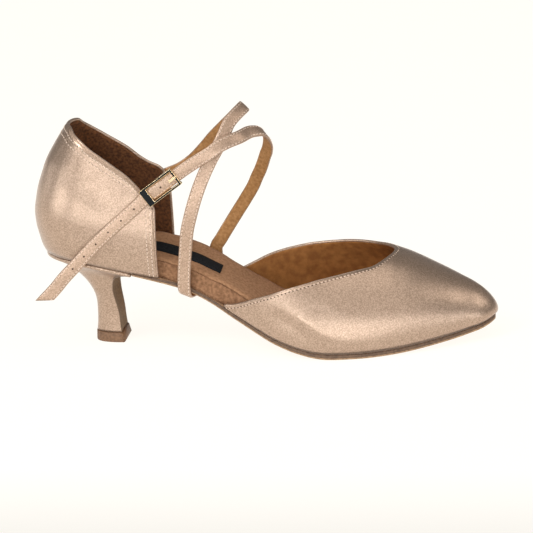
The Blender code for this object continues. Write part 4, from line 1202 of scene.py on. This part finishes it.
ENAMEL = grain(
    plain_finish("Black enamel", (0.006, 0.008, 0.009), 0.18), 300.0, 0.00001,
    (0.003, 0.005, 0.006), (0.008, 0.010, 0.011),
)
ENAMEL.node_tree.nodes["Principled BSDF"].inputs["Specular IOR Level"].default_value = 0.25


def buckle_place():
    frame_at, length = strap_line(STRAP_INNER)
    low, high = length / 2, length
    for _ in range(40):
        at = (low + high) / 2
        if frame_at(at)[0].x > x_at(BUCKLE_ALONG):
            low = at
        else:
            high = at
    middle, run, face, across = frame_at(at)
    return middle, -run, face, across


def cells(name, breaks, filled, finishes):
    """A piece of the filled cells of a grid that runs along, across and out of the strap."""
    origin, run, face, across = buckle_place()
    points, faces, index = [], [], {}
    for cell in sorted(filled):
        for axis in range(3):
            for way in (0, 1):
                beside = list(cell)
                beside[axis] += 1 if way else -1
                if tuple(beside) in filled:
                    continue
                b, c = [a for a in range(3) if a != axis]
                side = []
                for db, dc in ((0, 0), (1, 0), (1, 1), (0, 1)):
                    at = list(cell)
                    at[axis] += way
                    at[b] += db
                    at[c] += dc
                    if tuple(at) not in index:
                        index[tuple(at)] = len(points)
                        u, v, w = [breaks[n][at[n]] for n in range(3)]
                        points.append(origin + run * u + across * v + face * w)
                    side.append(index[tuple(at)])
                faces.append(tuple(side))
    piece = new_piece(name, points, faces, finishes)
    piece.data.shade_flat()
    return piece


def soften(piece, width, segments=3):
    edge = piece.modifiers.new("Soft edges", "BEVEL")
    edge.width = width
    edge.segments = segments
    edge.limit_method = "ANGLE"
    edge.angle_limit = math.radians(40)
    edge.harden_normals = True


half_long = BUCKLE_LENGTH / 2
bar_back = half_long - FRONT_BAR
frame_foot = STRAP_THICK / 2 + GAP
frame_top = frame_foot + BUCKLE_THICK
frame_cells = {(i, j, 3) for i in range(5) for j in range(3) if j != 1 or i in (0, 4)}
frame_cells |= {(i, j, 2) for i in range(5) for j in (0, 2)}
frame_cells |= {(2, 0, 1), (2, 2, 1), (2, 0, 0), (2, 1, 0), (2, 2, 0)}
buckle = cells(
    "buckle_ring",
    (
        (-half_long, -half_long + BUCKLE_BAR, -CROSS_BAR, CROSS_BAR, bar_back, half_long),
        (-BUCKLE_HALF, -BUCKLE_CLEAR, BUCKLE_CLEAR, BUCKLE_HALF),
        (-frame_foot - CROSS_BAR, -frame_foot, -RAIL_DROP, frame_foot, frame_top - FACE_SUNK),
    ),
    frame_cells, [GOLD],
)
soften(buckle, 0.0002)
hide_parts("buckle_frame")
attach(buckle, "root")
INLAY = 0.00019
inlay = cells(
    "buckle_enamel",
    (
        (-half_long + INLAY, -half_long + BUCKLE_BAR - INLAY, bar_back + INLAY, half_long - INLAY),
        (-BUCKLE_HALF + INLAY, -BUCKLE_CLEAR - INLAY, BUCKLE_CLEAR + INLAY, BUCKLE_HALF - INLAY),
        (frame_top - ENAMEL_DEEP, frame_top + ENAMEL_PROUD),
    ),
    {(i, j, 0) for i in range(3) for j in range(3) if (i, j) != (1, 1)}, [ENAMEL],
)
soften(inlay, 0.0001, 2)
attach(inlay, "root")

prong = cells(
    "buckle_pin",
    (
        (bar_back - PRONG_REACH, bar_back - GAP, half_long - PRONG_SETBACK),
        (-PRONG_HALF, PRONG_HALF),
        (frame_foot, frame_top + GAP, frame_top + GAP + PRONG_THICK),
    ),
    {(0, 0, 0), (0, 0, 1), (1, 0, 1)}, [GOLD],
)
soften(prong, 0.0006, 4)
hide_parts("buckle_prong")
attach(prong, "root")

TAB_THICK = 0.0012
TAB_WIDTH = 0.0066
TAB_FROM = (0.885, 0.985)
TAB_OVERLAP = 0.0012
TAB_STEPS = 12


def tab_loops():
    middle, run, face, across = buckle_place()
    under = STRAP_THICK / 2 + 2 * GAP + CROSS_BAR + TAB_THICK / 2
    head = middle - face * under + run * TAB_OVERLAP
    high, low = [cup_point(way, OUTER, collar[OUTER](way)) for way in TAB_FROM]
    root = (high + low) / 2 + Vector((0.0, CUP_WALL / 2, 0.0)) + run * (2.5 * GAP)
    edge = (high - low).normalized()
    loops = []
    for i in range(TAB_STEPS + 1):
        t = i / TAB_STEPS
        place_on = root.lerp(head, t)
        wide = edge.lerp(across if across.dot(edge) > 0 else -across, min(1.0, 2 * t)).normalized()
        loops.append([
            place_on + wide * (y * TAB_WIDTH / 2) + face * (z * TAB_THICK / 2) for y, z in STRAP_SECTION
        ])
    return loops


tab = loft("buckle_holder", tab_loops(), [STRAP_SATIN, STRAP_LINING], STRAP_SLOTS)
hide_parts("buckle_tab")
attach(tab, "root")


# Punched holes in the tail: small round dark discs of painted shade with a pressed rim, not cut through,
# one of them in the buckle's window.
HOLE_COUNT = 8
HOLE_GAP = 0.0093
HOLE_RADIUS = 0.00055
PUNCH_SIDES = 14
PUNCH_LIFT = 0.52 * STRAP_THICK + 0.00005
PRESSED_RIM = 0.00002
TAIL_CLEAR = 0.006
SEARCH_STEPS = 800
# Each hole is a shallow dark disc, its painted shade, laid on the strap's face.
hole_points, hole_faces = [], []
frame_at, tail_length = strap_line(STRAP_INNER)
buckle_middle = buckle_place()[0]
buckle_at = min(
    [tail_length * i / SEARCH_STEPS for i in range(SEARCH_STEPS // 2, SEARCH_STEPS + 1)],
    key=lambda at: (frame_at(at)[0] - buckle_middle).length,
)
for n in range(HOLE_COUNT):
    hole_at = buckle_at + n * HOLE_GAP
    if hole_at > tail_length - TAIL_CLEAR:
        break
    middle, run, face, across = frame_at(hole_at)
    rim = circle(middle + face * (PUNCH_LIFT + PRESSED_RIM), run, across, HOLE_RADIUS, PUNCH_SIDES)
    add_hole(hole_points, hole_faces, middle + face * PUNCH_LIFT, rim)
holes = new_piece("punched_holes", hole_points, hole_faces, [HOLE_SHADE])
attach(holes, "root")
